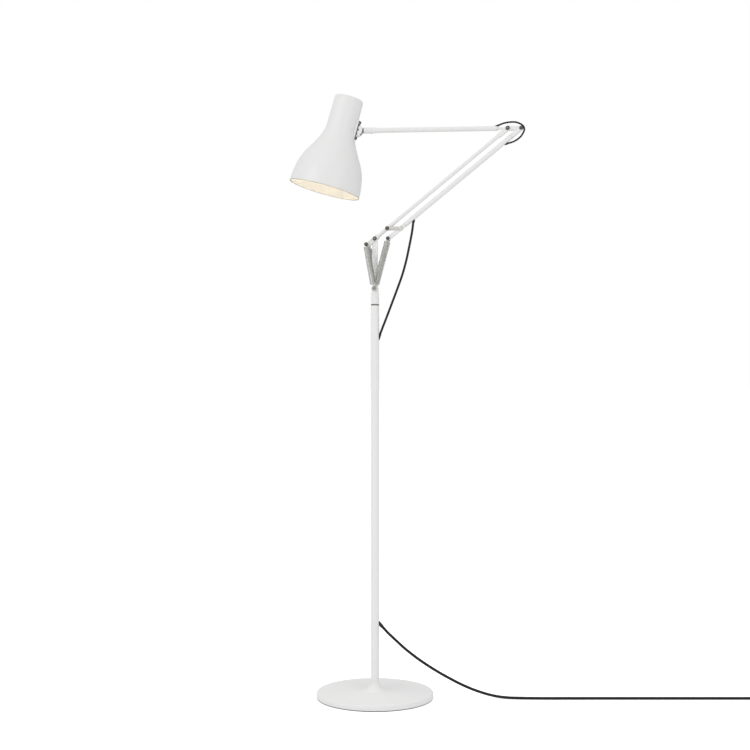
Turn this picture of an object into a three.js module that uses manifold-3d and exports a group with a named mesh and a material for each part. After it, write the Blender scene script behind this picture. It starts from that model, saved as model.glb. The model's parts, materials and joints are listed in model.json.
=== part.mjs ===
// Adjustable arm floor lamp, in millimetres, +Z up, origin on the floor under the middle of the base.
// The arm lies in the XZ plane, with its elbow towards +X and its shade towards -X.
// A spring balanced parallelogram of two rods, a link and a short crank carries the upper arm.

import * as THREE from "three";
import { mergeVertices } from "three/addons/utils/BufferGeometryUtils.js";
import Module from "manifold-3d";

const wasm = await Module();
wasm.setup();

// Fits and cuts that every piece shares
const gap = 0.3;
const overrun = 2;

// Round base: a pressed cover over an iron weight, on a foot pad
const base = {
  radius: 140, height: 15.4, wall: 1.5, edgeRadius: 3.4, skirt: 1.9, padInset: 8, padHeight: 2,
  weightInset: 5, flareRadius: 32, flareHeight: 6.2, rise: 0.9,
};
const baseBolt = { radius: 4, headRadius: 8, headHeight: 5.4, recessRadius: 9, recess: 6.3, reach: 24 };

// Flare of the cover round the post, as shares of the way in and of its height
const baseFlareShares = [[0, 0], [0.4, 0.12], [0.75, 0.5], [1, 1]];

// Upright post, its foot plug and the bush that the head turns in
const post = {
  radius: 10, wall: 1.5, top: 940.7, plugHeight: 26, outlet: 182.5, outletAngle: -48, inlet: 866, inletAngle: 69,
};
const bush = { flange: 2, length: 29, wall: 2.9 };

// Head that turns on the post: a spigot with two ears, and the strut they hold
const head = { height: 30.7, chamfer: 1.2, slotFloor: 19, earRadius: 8, earThickness: 3, anchorRise: 6.6, tail: 7.5 };
const clip = { thickness: 1.2, grooveDepth: 1, radius: 7.4, mouth: 6 };
const strut = { width: 13.4, thickness: 6, reach: 120.4 };

// The parallelogram: two rods of one length, and a link and a crank of one length
const rodLength = 409.3;
const crank = 32;
const lowerAngle = 39.2;
const upperAngle = -0.3;
const lower = { radius: 4.4, wall: 1.5, springReach: 24, linkReach: 38.6 };
const tie = { radius: 5.8, wall: 1.5, dropRise: 73.5, dropExitAngle: -136, elbowExit: 50, elbowExitAngle: -28 };

// Forks and tongues at the ends of the rods
const fork = { thickness: 2.7, halfWidth: 5.5, slotDepth: 25, neck: 6, cone: 4, plug: 18 };
const lowerFork = { thickness: 3, slotDepth: 7.4, neck: 6, endRadius: 5.5 };
const tieForkEnd = 4.7;
const tongue = { thickness: 5, halfWidth: 6.2, rootHalf: 2.4, root: 20, cone: 5, plug: 18 };
const tieFoot = { halfThickness: 4.2, halfWidth: 4.9, root: 9, plug: 14 };

// Link plates on each side of the rods
const link = { thickness: 1.5, halfWidth: 4, endRadius: 5.4, clearance: 0.3 };
const linkPin = { radius: 2, headRadius: 4.8, headHeight: 1.9 };
const openPivotGap = 0.5;

// Bolts, nuts, studs and pins
const bolt = { radius: 2.5, headRadius: 4.9, headHeight: 3.6, nutHeight: 4.2, nutCrown: 1.2, threadReach: 2.6 };
const stud = { tail: 2.2, shoulder: 3.5, headRadius: 4.7, headHeight: 2.8 };

// Springs: a pair low on the left, and a pair on the right, all hooked on one anchor bolt
const wire = 1.5;
const leftSpring = { radius: 7.5, offset: 24.6, lowGap: 10, highGap: 6 };
const rightSpring = { radius: 6.5, offset: 10.2, lowGap: 11, highGap: 6.5 };
const springCurls = 12;
const springHookDegrees = 240;

// Upper arm with its swaged end, end bush and grub screw
const upper = {
  radius: 5.85, wall: 1.5, swagedRadius: 7.3, swageLength: 43, swagedLength: 5.9, length: 343.9, exit: 27.4,
  exitAngle: 23,
};
const swageShares = [[0, 1], [0.25, 0.84], [0.5, 0.5], [0.75, 0.16], [1, 0]];
const endBush = { length: 26, wall: 1.6, flange: 1.2 };
const grub = { radius: 2, inset: 18.4, stand: 8.2 };

// Stalk that rolls in the arm's end and carries the shade's tilt barrel
const stalk = { radius: 3.6, length: 33, stand: 12.9, barrelRadius: 5, barrelHalf: 9.6, groove: 0.8, grooveWidth: 5 };

// Shade, measured along its axis from the top and out from the axis
const shade = {
  length: 228.5, wall: 1.2, neckRadius: 36.3, mouthRadius: 86.6, topInset: 1.2, topRound: 5, neckLength: 78,
  tiltDrop: 70.9, tiltOut: 42.7,
};
const shadeTilt = 15.1;
const shadeRoll = 2.3;
const shadeFlareShares = [
  [0.08, 0.045], [0.2, 0.175], [0.29, 0.315], [0.39, 0.48], [0.485, 0.65], [0.585, 0.785], [0.7, 0.89],
  [0.85, 0.965], [1, 1],
];
const knuckle = {
  radius: 16.2, halfWidth: 12, wall: 2, padHalfLength: 22.5, padHalfWidth: 13, padStand: 4.9, padDepth: 4,
  padCorner: 5, windowHalfHeight: 9.5,
};
const padScrew = { radius: 1.5, headRadius: 2.9, headHeight: 2.4, spacing: 39, length: 9 };
const tiltPinRadius = 2;
const tiltUp = 5;
const tiltDown = 50;
const holder = { radius: 18, length: 50, capRadius: 13.2, socketDepth: 33, boreDepth: 15 };
const button = { radius: 5.6, stand: 5.2, depth: 9, round: 1.2 };
const bulb = { radius: 30, length: 82, capLength: 27 };
const bulbShoulderDegrees = 50;

// Cables and the mains cord
const cable = { radius: 2.75 };
const loopCable = { radius: 2.1 };
const grommet = { wall: 0.7, stand: 3.6, lowStand: 7, buried: 10 };
const coil = { middle: 30, pitch: 6.1, lift: 5.95, tail: 38 };
const coilTurnsPerLayer = 2.5;
const climbTurns = 0.5;
const cordTie = { width: 7, wall: 0.9 };
const tieTurns = 0.25;
const plug = {
  length: 36, width: 25, thickness: 17, nose: 7, noseWall: 2.4, pinRadius: 2.4, pinLength: 19, pinSpacing: 19,
};

// Routes of the cables, as points that a cable of this stiffness passes through
const elbowRoute = [
  [284.3, 0, 1363.4], [289.8, 0, 1365.7], [294.4, 0, 1367.6], [300, 0, 1369.7], [306.6, 0, 1371.7],
  [314, 0, 1373.3], [322, 0, 1374.3], [330.2, 0, 1374.5], [337.4, 0, 1373.7], [344.4, 0, 1371.5],
  [351.2, 0, 1368], [355.9, 0, 1363.4], [357.6, 0, 1357.4], [356.4, 0, 1351.4], [353.2, 0, 1346],
  [348.9, 0, 1340.6], [343.5, 0, 1335.6], [337.3, 0, 1331.2], [330.6, 0, 1327.8], [323.9, 0, 1325.5],
  [319, 0, 1324.4], [314.1, 0, 1323.4], [308.2, 0, 1322.2],
];
const dropRoute = [
  [93.2, 0, 1147.8], [92.6, 0, 1142.8], [92, 0, 1137.8], [91.1, 0, 1130], [89.2, 0, 1116], [85.9, 0, 1098],
  [81.6, 0, 1077], [75.8, 0, 1050], [66.6, 0, 1016.2], [55.2, 0, 984], [41.4, 0, 947.4], [26.6, 0, 908.6],
  [15.7, 0, 880.9], [11.8, 0, 870.7], [10, 0, 866], [8.2, 0, 861.3],
];
const mainsRoute = [
  [5.9, 0.7, 187], [9.9, 1.1, 182.5], [13.9, 1.6, 178], [19.3, 2.1, 172.1], [30.4, 3.1, 159.6], [43.3, 4.2, 146],
  [56.9, 5.3, 132], [70.5, 6.4, 118.6], [98, 8.4, 96.4], [125.6, 10.4, 77.2], [153.2, 12.2, 60.2], [180.7, 14, 45],
  [208, 15.8, 31.2], [235.6, 17.6, 19.6], [263.1, 19.5, 10.6], [290.6, 21.3, 5.3], [317.5, 23.3, 3.1],
  [345.4, 25.8, 2.85], [399, 31.4, 2.8], [468.6, 39.3, 2.8], [543.1, 47.8, 2.8], [617.6, 56.3, 2.8],
  [697.1, 65.3, 2.8], [776.6, 74.4, 2.8], [846.1, 82.3, 2.8], [900.8, 88.5, 2.9], [930.6, 91.9, 3.7],
  [939, 92.9, 3.95], [945, 93.6, 4],
];
const cordHeading = 6.5;

// Facet and step counts
const roundSegments = 32;
const postSegments = 20;
const tubeSegments = 16;
const pinSegments = 10;
const arcSteps = 5;
const cornerSteps = 2;
const springSides = 5;
const stepsPerCurl = 8;
const rampSteps = 3;
const hookSteps = 6;
const stepsPerLoop = 20;
const coilSides = 6;
const cableSides = 8;
const elbowSteps = 15;
const dropSteps = 22;
const mainsSteps = 61;

// Finishes
const finish = (color, roughness, metalness) => new THREE.MeshStandardMaterial({ color, roughness, metalness });
const whitePaint = finish(0xe9e9e6, 0.45, 0);
const blackPlastic = finish(0x1c1c1d, 0.5, 0);
const darkSteel = finish(0x6b6863, 0.4, 0.9);
const plateSteel = finish(0xb5afa4, 0.4, 0.9);
const springSteel = finish(0xa9aaa0, 0.35, 0.95);
const castIron = finish(0x4a4a4a, 0.8, 0.5);
const rubber = finish(0x202020, 0.85, 0);
const nylon = finish(0x55534f, 0.6, 0);
const brass = finish(0xc9a85a, 0.35, 0.95);
const opal = finish(0xfff2dd, 0.3, 0);

const radians = THREE.MathUtils.degToRad;
const { smoothstep } = THREE.MathUtils;

// Geometry with only positions, its shared corners merged and its empty triangles dropped
function bare(geometry) {
  geometry.deleteAttribute("normal");
  geometry.deleteAttribute("uv");
  const merged = mergeVertices(geometry);
  const corners = Array.from(merged.index.array);
  const kept = [];
  for (let i = 0; i < corners.length; i += 3) {
    const [a, b, c] = corners.slice(i, i + 3);
    if (a !== b && b !== c && c !== a) kept.push(a, b, c);
  }
  merged.setIndex(kept);
  return merged;
}

function solid(geometry) {
  const plain = bare(geometry);
  const vertProperties = new Float32Array(plain.attributes.position.array);
  const triVerts = new Uint32Array(plain.index.array);
  return new wasm.Manifold(new wasm.Mesh({ numProp: 3, vertProperties, triVerts }));
}

function fromSolid(body) {
  const mesh = body.getMesh();
  const geometry = new THREE.BufferGeometry();
  geometry.setAttribute("position", new THREE.BufferAttribute(new Float32Array(mesh.vertProperties), 3));
  geometry.setIndex(new THREE.BufferAttribute(new Uint32Array(mesh.triVerts), 1));
  return geometry;
}

const join = (...bodies) => bodies.reduce((all, body) => all.add(body));
const cut = (body, ...tools) => tools.reduce((left, tool) => left.subtract(tool), body);

// Body turned about the part's Z axis from a profile of [radius, height] points
function turned(profile, segments = roundSegments) {
  const points = profile.map(([r, z]) => new THREE.Vector2(r, z));
  return new THREE.LatheGeometry(points, segments).rotateX(Math.PI / 2);
}

// Body turned about the X axis, from [radius, x] points
function turnedAlongX(profile, segments = tubeSegments) {
  return turned(profile, segments).rotateY(Math.PI / 2);
}

// Body turned about the Y axis, from [radius, y] points
function turnedAlongY(profile, segments = pinSegments) {
  return turned(profile, segments).rotateX(-Math.PI / 2);
}

const ringProfile = (inner, outer, low, high) => [
  [inner, low], [outer, low], [outer, high], [inner, high], [inner, low],
];
const rodProfile = (radius, low, high) => [[0, low], [radius, low], [radius, high], [0, high]];

// Plain round bars, used for bores, plugs and pins
const rodAlongX = (radius, low, high) => solid(turnedAlongX(rodProfile(radius, low, high)));
const rodAlongY = (radius, low, high, x = 0, z = 0, segments = pinSegments) =>
  solid(turnedAlongY(rodProfile(radius, low, high), segments).translate(x, 0, z));
const rodAlongZ = (radius, low, high, x = 0) =>
  solid(turned(rodProfile(radius, low, high), pinSegments).translate(x, 0, 0));

// Bore right through a piece of a given half thickness, along Y
const boreAlongY = (pinRadius, half, x = 0, z = 0) =>
  rodAlongY(pinRadius + gap, -half - overrun, half + overrun, x, z);

function box(xLow, xHigh, yLow, yHigh, zLow, zHigh) {
  const shape = new THREE.BoxGeometry(xHigh - xLow, yHigh - yLow, zHigh - zLow);
  return shape.translate((xLow + xHigh) / 2, (yLow + yHigh) / 2, (zLow + zHigh) / 2);
}

// Flat plate in the XZ plane, from an outline of [x, z] points
function plate(outline, yLow, yHigh) {
  const shape = new THREE.Shape(outline.map(([x, z]) => new THREE.Vector2(x, z)));
  const body = new THREE.ExtrudeGeometry(shape, { depth: yHigh - yLow, bevelEnabled: false });
  return body.rotateX(Math.PI / 2).translate(0, yHigh, 0);
}

// Points on an arc about [x, z], from one angle to another
function arc(x, z, radius, from, to, steps = arcSteps) {
  return Array.from({ length: steps + 1 }, (_, i) => {
    const angle = from + ((to - from) * i) / steps;
    return [x + radius * Math.cos(angle), z + radius * Math.sin(angle)];
  });
}

// Outline round two circles on the X axis, each of its own radius
function strapOutline(x0, r0, x1, r1) {
  const side = Math.PI / 2 - Math.asin((r0 - r1) / (x1 - x0));
  return [...arc(x1, 0, r1, -side, side), ...arc(x0, 0, r0, side, 2 * Math.PI - side)];
}

// Outline of a link, with a round eye at each end of a narrower bar
function linkOutline(span, eyeRadius, barHalf) {
  const meet = Math.asin(barHalf / eyeRadius);
  const eye = (x, from, to) => arc(x, 0, eyeRadius, from, to);
  return [...eye(span, meet - Math.PI, Math.PI - meet), ...eye(0, meet, 2 * Math.PI - meet)];
}

// Outline with four round corners, about a middle point
function roundedOutline(xLow, xHigh, zLow, zHigh, corner) {
  const quarter = Math.PI / 2;
  const turn = (x, z, k) => arc(x, z, corner, k * quarter, (k + 1) * quarter, cornerSteps);
  return [
    ...turn(xHigh - corner, zHigh - corner, 0), ...turn(xLow + corner, zHigh - corner, 1),
    ...turn(xLow + corner, zLow + corner, 2), ...turn(xHigh - corner, zLow + corner, 3),
  ];
}

// Tube along a smooth curve through the given points
function tubeAlong(points, radius, steps, sides) {
  const curve = new THREE.CatmullRomCurve3(points.map((p) => new THREE.Vector3(...p)), false, "centripetal");
  const ring = Array.from({ length: sides }, (_, i) => {
    const angle = (2 * Math.PI * i) / sides;
    return new THREE.Vector2(radius * Math.cos(angle), radius * Math.sin(angle));
  });
  return new THREE.ExtrudeGeometry(new THREE.Shape(ring), { steps, bevelEnabled: false, extrudePath: curve });
}

// Wound tube through every given point, with flat ends
function woundTube(points, radius, sides) {
  const last = points.length - 1;
  const way = points.map((p, i) =>
    points[Math.min(i + 1, last)].clone().sub(points[Math.max(i - 1, 0)]).normalize()
  );
  const corners = [];
  let across = new THREE.Vector3(0, 1, 0).cross(way[0]).normalize();
  points.forEach((p, i) => {
    across = across.clone().addScaledVector(way[i], -across.dot(way[i])).normalize();
    const up = way[i].clone().cross(across);
    for (let k = 0; k < sides; k += 1) {
      const angle = (2 * Math.PI * k) / sides;
      const out = across.clone().multiplyScalar(Math.cos(angle)).addScaledVector(up, Math.sin(angle));
      corners.push(...p.clone().addScaledVector(out, radius).toArray());
    }
  });
  const geometry = new THREE.BufferGeometry();
  geometry.setAttribute("position", new THREE.Float32BufferAttribute(corners, 3));
  geometry.setIndex(tubeFaces(last, sides));
  return geometry;
}

// Faces of a tube's side and of its two flat ends
function tubeFaces(last, sides) {
  const faces = [];
  for (let i = 0; i < last; i += 1) {
    for (let k = 0; k < sides; k += 1) {
      const a = i * sides + k;
      const b = i * sides + ((k + 1) % sides);
      faces.push(a, b, a + sides, b, b + sides, a + sides);
    }
  }
  for (let k = 1; k < sides - 1; k += 1) {
    faces.push(0, k + 1, k, last * sides, last * sides + k, last * sides + k + 1);
  }
  return faces;
}

// Least distance between far apart stretches of a wound tube, less its thickness
function selfGap(points, radius, skip) {
  let least = Infinity;
  for (let i = 0; i < points.length; i += 1) {
    for (let j = i + skip; j < points.length; j += 1) {
      least = Math.min(least, points[i].distanceTo(points[j]));
    }
  }
  return least - 2 * radius;
}

const lamp = new THREE.Group();

function add(parent, name, body, material) {
  const geometry = body.isBufferGeometry ? bare(body) : fromSolid(body);
  geometry.computeVertexNormals();
  const mesh = new THREE.Mesh(geometry, material);
  mesh.name = name;
  parent.add(mesh);
  return mesh;
}

// Group whose X axis is turned up from its parent's by an angle in the arm's plane
function turnedGroup(parent, x, z, degrees) {
  const group = new THREE.Group();
  group.position.set(x, 0, z);
  group.rotation.y = -radians(degrees);
  parent.add(group);
  return group;
}

// Rounded head, as shares of its radius and of its height
const headShares = [[0, 1], [0.6, 0.88], [1, 0.45]];
const rivetShares = [[0, 1], [0.7, 1], [1, 0.5]];

const headProfile = (shares, seat, radius, height) => shares.map(([r, h]) => [r * radius, seat + h * height]);

// Round bolt along Y with its head on the near side
function boltBody(radius, low, high) {
  const head = headProfile(headShares, low, bolt.headRadius, -bolt.headHeight);
  return turnedAlongY([...head, [bolt.headRadius, low], [radius, low], [radius, high], [0, high]]);
}

// Capped nut along Y on the far side, over the end of its bolt
function nutBody(start) {
  const bore = bolt.radius + gap;
  const depth = start + bolt.nutHeight - bolt.nutCrown;
  const cap = headProfile(headShares, start, bolt.headRadius, bolt.nutHeight).reverse();
  return turnedAlongY([[bore, start], [bolt.headRadius, start], ...cap, [0, depth], [bore, depth], [bore, start]]);
}

// Pin along Y with a low head on each side
function rivetBody(radius, half, headRadius, headHeight) {
  const low = headProfile(rivetShares, -half, headRadius, -headHeight);
  const high = headProfile(rivetShares, half, headRadius, headHeight).reverse();
  return turnedAlongY([...low, [headRadius, -half], [radius, -half], [radius, half], [headRadius, half], ...high]);
}

// Cylinder along a direction, between two distances from a point in the plane of its heading
function slanted({ x, z, angle, heading = 0 }, radius, from, to) {
  const body = new THREE.CylinderGeometry(radius, radius, to - from, pinSegments).rotateZ(-Math.PI / 2);
  body.translate((from + to) / 2, 0, 0).rotateY(-radians(angle)).translate(x, 0, z);
  return body.rotateZ(radians(heading));
}

// Rubber hood round a cable where it leaves a tube, seated on the tube
function hood(exit, host) {
  const hole = exit.cable.radius + gap;
  const sleeve = solid(slanted(exit, hole + grommet.wall, -grommet.buried, exit.stand));
  const bore = solid(slanted(exit, hole, -grommet.buried - overrun, exit.stand + overrun));
  return cut(sleeve, host, bore);
}

// Clearance hole in a tube's wall for a cable, along the cable
function cableHole(exit) {
  const reach = grommet.buried + overrun;
  return solid(slanted(exit, exit.cable.radius + gap, -reach, reach));
}

// Fork with its pivot at the origin and its rod towards +X, its cheeks reaching back by a tail
function forkBody({ inner, thickness, endRadius, slotDepth, neck, rodRadius, rodWall, plug, pinRadius, tail = 0 }) {
  const outer = inner + thickness;
  const half = fork.halfWidth;
  const end = slotDepth + neck;
  const cheekEnd = end - fork.cone;
  const cheeks = solid(plate(strapOutline(-tail, endRadius, cheekEnd - half / 2, half), -outer, outer));
  const trim = solid(box(cheekEnd, end + half, -half - outer, half + outer, -half - overrun, half + overrun));
  const cone = solid(turnedAlongX([
    [0, slotDepth], [half, slotDepth], [half, cheekEnd], [rodRadius, end], [0, end],
  ]));
  const plugPin = rodAlongX(rodRadius - rodWall - gap, end - fork.cone, end + plug);
  const slot = solid(box(-tail - endRadius - overrun, slotDepth, -inner, inner, -half - overrun, half + overrun));
  return cut(join(cut(cheeks, trim), cone, plugPin), slot, boreAlongY(pinRadius, outer));
}

// Stand
const weightLow = base.padHeight + gap;
const weightTop = base.height - base.wall - gap;
const postLow = weightTop + gap;
const postBore = post.radius - post.wall;
const edgeTop = base.height - base.rise;

function baseCover() {
  const hole = post.radius + gap;
  const middle = base.radius - base.edgeRadius;
  const flare = (drop) =>
    baseFlareShares.map(([out, up]) => [
      base.flareRadius + (hole - base.flareRadius) * out, base.height + base.flareHeight * up - drop,
    ]);
  const edge = arc(middle, edgeTop - base.edgeRadius, base.edgeRadius, 0, Math.PI / 2, cornerSteps);
  const inside = arc(middle, edgeTop - base.edgeRadius, base.edgeRadius - base.wall, Math.PI / 2, 0, cornerSteps);
  return turned([
    [base.radius - base.wall, base.skirt], [base.radius, base.skirt], ...edge, ...flare(0),
    ...flare(base.wall).reverse(), ...inside, [base.radius - base.wall, base.skirt],
  ]);
}

function baseWeight() {
  const weightRadius = base.radius - base.weightInset;
  const recessTop = weightLow + baseBolt.recess;
  const bore = baseBolt.radius + gap;
  return turned([
    [baseBolt.recessRadius, weightLow], [weightRadius, weightLow], [weightRadius, weightTop - base.rise],
    [base.flareRadius, weightTop], [bore, weightTop], [bore, recessTop], [baseBolt.recessRadius, recessTop],
    [baseBolt.recessRadius, weightLow],
  ]);
}

function baseBoltBody() {
  const seat = weightLow + baseBolt.recess - gap;
  const headLow = seat - baseBolt.headHeight;
  return turned([
    [0, headLow], [baseBolt.headRadius, headLow], [baseBolt.headRadius, seat], [baseBolt.radius, seat],
    [baseBolt.radius, seat + baseBolt.reach], [0, seat + baseBolt.reach],
  ], tubeSegments);
}

const outlet = {
  x: post.radius, z: post.outlet, angle: post.outletAngle, heading: cordHeading, stand: grommet.stand, cable,
};
const inlet = { x: post.radius, z: post.inlet, angle: post.inletAngle, stand: grommet.lowStand, cable };

const postTube = solid(turned(ringProfile(postBore, post.radius, postLow, post.top), postSegments));
const postSkin = solid(turned(rodProfile(post.radius + gap, postLow, post.top), postSegments));

add(lamp, "foot_pad", turned(rodProfile(base.radius - base.padInset, 0, base.padHeight)), rubber);
add(lamp, "base_weight", baseWeight(), castIron);
add(lamp, "base_cover", baseCover(), whitePaint);
add(lamp, "base_bolt", baseBoltBody(), darkSteel);
add(lamp, "post_foot_plug",
  turned(ringProfile(baseBolt.radius + gap, postBore - gap, postLow, postLow + post.plugHeight), postSegments),
  darkSteel);
add(lamp, "post_tube", cut(postTube, cableHole(outlet), cableHole(inlet)), whitePaint);
add(lamp, "outlet_grommet", hood(outlet, postSkin), rubber);
add(lamp, "inlet_grommet", hood(inlet, postSkin), rubber);

// Swivel bush in the top of the post
const bushSleeve = postBore - gap;
const bushBore = bushSleeve - bush.wall;
const flangeLow = post.top + gap;
const bushLow = flangeLow - bush.length;
const flangeHigh = flangeLow + bush.flange;

add(lamp, "swivel_bush", turned([
  [bushBore, bushLow], [bushSleeve, bushLow], [bushSleeve, flangeLow], [post.radius, flangeLow],
  [post.radius, flangeHigh], [bushBore, flangeHigh], [bushBore, bushLow],
], postSegments), nylon);

// Head that turns on the post
const spindleRadius = bushBore - gap;
const headLow = flangeHigh + gap;
const headTop = headLow + head.height;
const anchorHeight = headTop + head.anchorRise;
const pivotHeight = anchorHeight + strut.reach;
const slotFloor = headLow + head.slotFloor;
const clipHigh = bushLow - gap;
const clipLow = clipHigh - clip.thickness;
const spindleLow = clipLow - head.tail;
const strutHalf = strut.thickness / 2;
const earInner = strutHalf + gap;
const earOuter = earInner + head.earThickness;

function headSpigot() {
  const groove = spindleRadius - clip.grooveDepth;
  const shoulder = post.radius - head.chamfer;
  const body = solid(turned([
    [0, spindleLow], [spindleRadius, spindleLow], [spindleRadius, clipLow - gap], [groove, clipLow - gap],
    [groove, clipHigh + gap], [spindleRadius, clipHigh + gap], [spindleRadius, headLow], [shoulder, headLow],
    [post.radius, headLow + head.chamfer], [post.radius, headTop - head.chamfer], [shoulder, headTop], [0, headTop],
  ], postSegments));
  const outline = [[-head.earRadius, slotFloor], [head.earRadius, slotFloor],
    ...arc(0, anchorHeight, head.earRadius, 0, Math.PI)];
  const bar = solid(turned(rodProfile(post.radius, slotFloor, anchorHeight + post.radius), postSegments));
  const ears = solid(plate(outline, -earOuter, earOuter)).intersect(bar);
  const reach = post.radius + overrun;
  const slot = solid(box(-reach, reach, -earInner, earInner, slotFloor, anchorHeight + reach));
  return cut(join(body, ears), slot, boreAlongY(bolt.radius, earOuter, 0, anchorHeight));
}

function spindleClip() {
  const inner = spindleRadius - clip.grooveDepth + gap;
  const ring = solid(turned(ringProfile(inner, clip.radius, clipLow, clipHigh), postSegments));
  const mouth = box(0, clip.radius + overrun, -clip.mouth / 2, clip.mouth / 2, clipLow - overrun, clipHigh + overrun);
  return cut(ring, solid(mouth));
}

function strutBody() {
  const half = strut.width / 2;
  const outline = [[-half, slotFloor + gap], [half, slotFloor + gap], ...arc(0, pivotHeight, half, 0, Math.PI)];
  const bores = [anchorHeight, pivotHeight].map((height) => boreAlongY(bolt.radius, strutHalf, 0, height));
  return cut(solid(plate(outline, -strutHalf, strutHalf)), ...bores);
}

const anchorReach = leftSpring.offset + wire / 2 + gap + gap / 2;
const anchorGroup = turnedGroup(lamp, 0, anchorHeight, 0);

add(lamp, "head_spigot", headSpigot(), whitePaint);
add(lamp, "strut", strutBody(), whitePaint);
add(anchorGroup, "anchor_bolt", boltBody(bolt.radius, -anchorReach, anchorReach + bolt.threadReach), plateSteel);
add(anchorGroup, "anchor_nut", nutBody(anchorReach), plateSteel);
add(lamp, "spindle_clip", spindleClip(), darkSteel);

// Pivots of the arm at rest, worked out along the rods
const along = ([x, z], degrees, distance) => [
  x + distance * Math.cos(radians(degrees)), z + distance * Math.sin(radians(degrees)),
];
const armPivot = [0, pivotHeight];
const elbow = along(armPivot, lowerAngle, rodLength);
const crankEnd = along(elbow, upperAngle, crank);
const linkPivot = along(armPivot, lowerAngle, lower.linkReach);
const leftHook = along(armPivot, lowerAngle, -lower.springReach);
const rightHook = along(armPivot, upperAngle, crank);
const tiltReach = upper.length + stalk.stand;
const tiltPivot = along(elbow, upperAngle, -tiltReach);

// Springs, each one wire: a hook, a shank, its curls, and a shank and hook again
function springPoints(spring, to, side) {
  const start = new THREE.Vector3(0, side * spring.offset, anchorHeight);
  const axis = new THREE.Vector3(to[0], 0, to[1] - anchorHeight);
  const length = axis.length();
  axis.normalize();
  const across = new THREE.Vector3(axis.z, 0, -axis.x);
  const place = (n, s, y = 0) =>
    start.clone().addScaledVector(across, n).addScaledVector(axis, s).add(new THREE.Vector3(0, y, 0));
  const eye = bolt.radius + gap + wire / 2;
  const mean = spring.radius - wire / 2;
  const hookTurn = radians(springHookDegrees);
  const hook = (middle, from, to) => arc(0, middle, eye, from, to, hookSteps).map(([n, s]) => place(n, s));
  const curls = Array.from({ length: springCurls * stepsPerCurl + 1 }, (_, k) => {
    const angle = (2 * Math.PI * k) / stepsPerCurl;
    const ramp = Math.min(1, k / rampSteps, (springCurls * stepsPerCurl - k) / rampSteps);
    const radius = eye + (mean - eye) * ramp;
    const rise = (length - spring.lowGap - spring.highGap) * (k / (springCurls * stepsPerCurl));
    return place(radius * Math.cos(angle), spring.lowGap + rise, radius * Math.sin(angle));
  });
  const low = hook(0, -hookTurn, 0);
  const high = hook(length, 0, hookTurn);
  const lead = (p, next) => p.clone().addScaledVector(p.clone().sub(next).normalize(), wire);
  return [lead(low[0], low[1]), ...low, ...curls, ...high, lead(high.at(-1), high.at(-2))];
}

function addSpring(name, spring, hookPoint, side) {
  const points = springPoints(spring, hookPoint, side);
  console.log(name, "least gap to itself", selfGap(points, wire / 2, stepsPerCurl - 2).toFixed(2));
  add(lamp, name, woundTube(points, wire / 2, springSides), springSteel);
}

addSpring("left_spring_near", leftSpring, leftHook, -1);
addSpring("left_spring_far", leftSpring, leftHook, 1);
addSpring("right_spring_near", rightSpring, rightHook, -1);
addSpring("right_spring_far", rightSpring, rightHook, 1);

// Lower arm, from its pivot on the strut to the elbow
const lowerGroup = turnedGroup(lamp, ...armPivot, lowerAngle);
const forkInner = tongue.thickness / 2 + gap;
const forkOuter = forkInner + fork.thickness;
const lowerRodLow = lowerFork.slotDepth + lowerFork.neck;
const lowerRodHigh = rodLength - fork.slotDepth - fork.neck;

function lowerRod() {
  const bore = lower.radius - lower.wall;
  const tube = solid(turnedAlongX(ringProfile(bore, lower.radius, lowerRodLow, lowerRodHigh)));
  return cut(tube, boreAlongY(linkPin.radius, lower.radius, lower.linkReach));
}

function lowerForkBody() {
  const body = forkBody({
    inner: earInner, thickness: lowerFork.thickness, endRadius: lowerFork.endRadius, tail: lower.springReach,
    slotDepth: lowerFork.slotDepth, neck: lowerFork.neck, rodRadius: lower.radius, rodWall: lower.wall,
    plug: fork.plug, pinRadius: bolt.radius,
  });
  return cut(body, boreAlongY(stud.tail, earOuter, -lower.springReach));
}

function studBody() {
  const foot = earInner + gap;
  const shoulderLow = earOuter + gap;
  const neckLow = leftSpring.offset - wire / 2 - gap;
  const neckHigh = leftSpring.offset + wire / 2 + gap;
  return turnedAlongY([
    [0, foot], [stud.tail, foot], [stud.tail, shoulderLow], [stud.shoulder, shoulderLow], [stud.shoulder, neckLow],
    [bolt.radius, neckLow], [bolt.radius, neckHigh], [stud.headRadius, neckHigh],
    [stud.headRadius, neckHigh + stud.headHeight / 2], [stud.headRadius / 2, neckHigh + stud.headHeight],
    [0, neckHigh + stud.headHeight],
  ]);
}

const elbowForkBody = () => fromSolid(forkBody({
  inner: forkInner, thickness: fork.thickness, endRadius: fork.halfWidth, slotDepth: fork.slotDepth, neck: fork.neck,
  rodRadius: lower.radius, rodWall: lower.wall, plug: fork.plug, pinRadius: bolt.radius,
}));

const linkInner = lower.radius + link.clearance;
const linkOuter = linkInner + link.thickness;
const rivetHalf = linkOuter + gap;

add(lowerGroup, "lower_rod", lowerRod(), whitePaint);
add(lowerGroup, "lower_fork", lowerForkBody(), whitePaint);
add(lowerGroup, "elbow_fork", elbowForkBody().rotateY(Math.PI).translate(rodLength, 0, 0), whitePaint);
add(lowerGroup, "pivot_bolt", boltBody(bolt.radius, -earOuter - gap, earOuter + gap + bolt.threadReach), darkSteel);
add(lowerGroup, "pivot_nut", nutBody(earOuter + gap), darkSteel);
add(lowerGroup, "spring_stud_far", studBody().translate(-lower.springReach, 0, 0), darkSteel);
add(lowerGroup, "spring_stud_near", studBody().rotateX(Math.PI).translate(-lower.springReach, 0, 0), darkSteel);
add(lowerGroup, "link_pin_lower",
  rivetBody(linkPin.radius, rivetHalf, linkPin.headRadius, linkPin.headHeight).translate(lower.linkReach, 0, 0),
  darkSteel);

// Link between the lower rod and the tie rod, a plate on each side
const linkGroup = turnedGroup(lamp, ...linkPivot, upperAngle);

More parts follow.
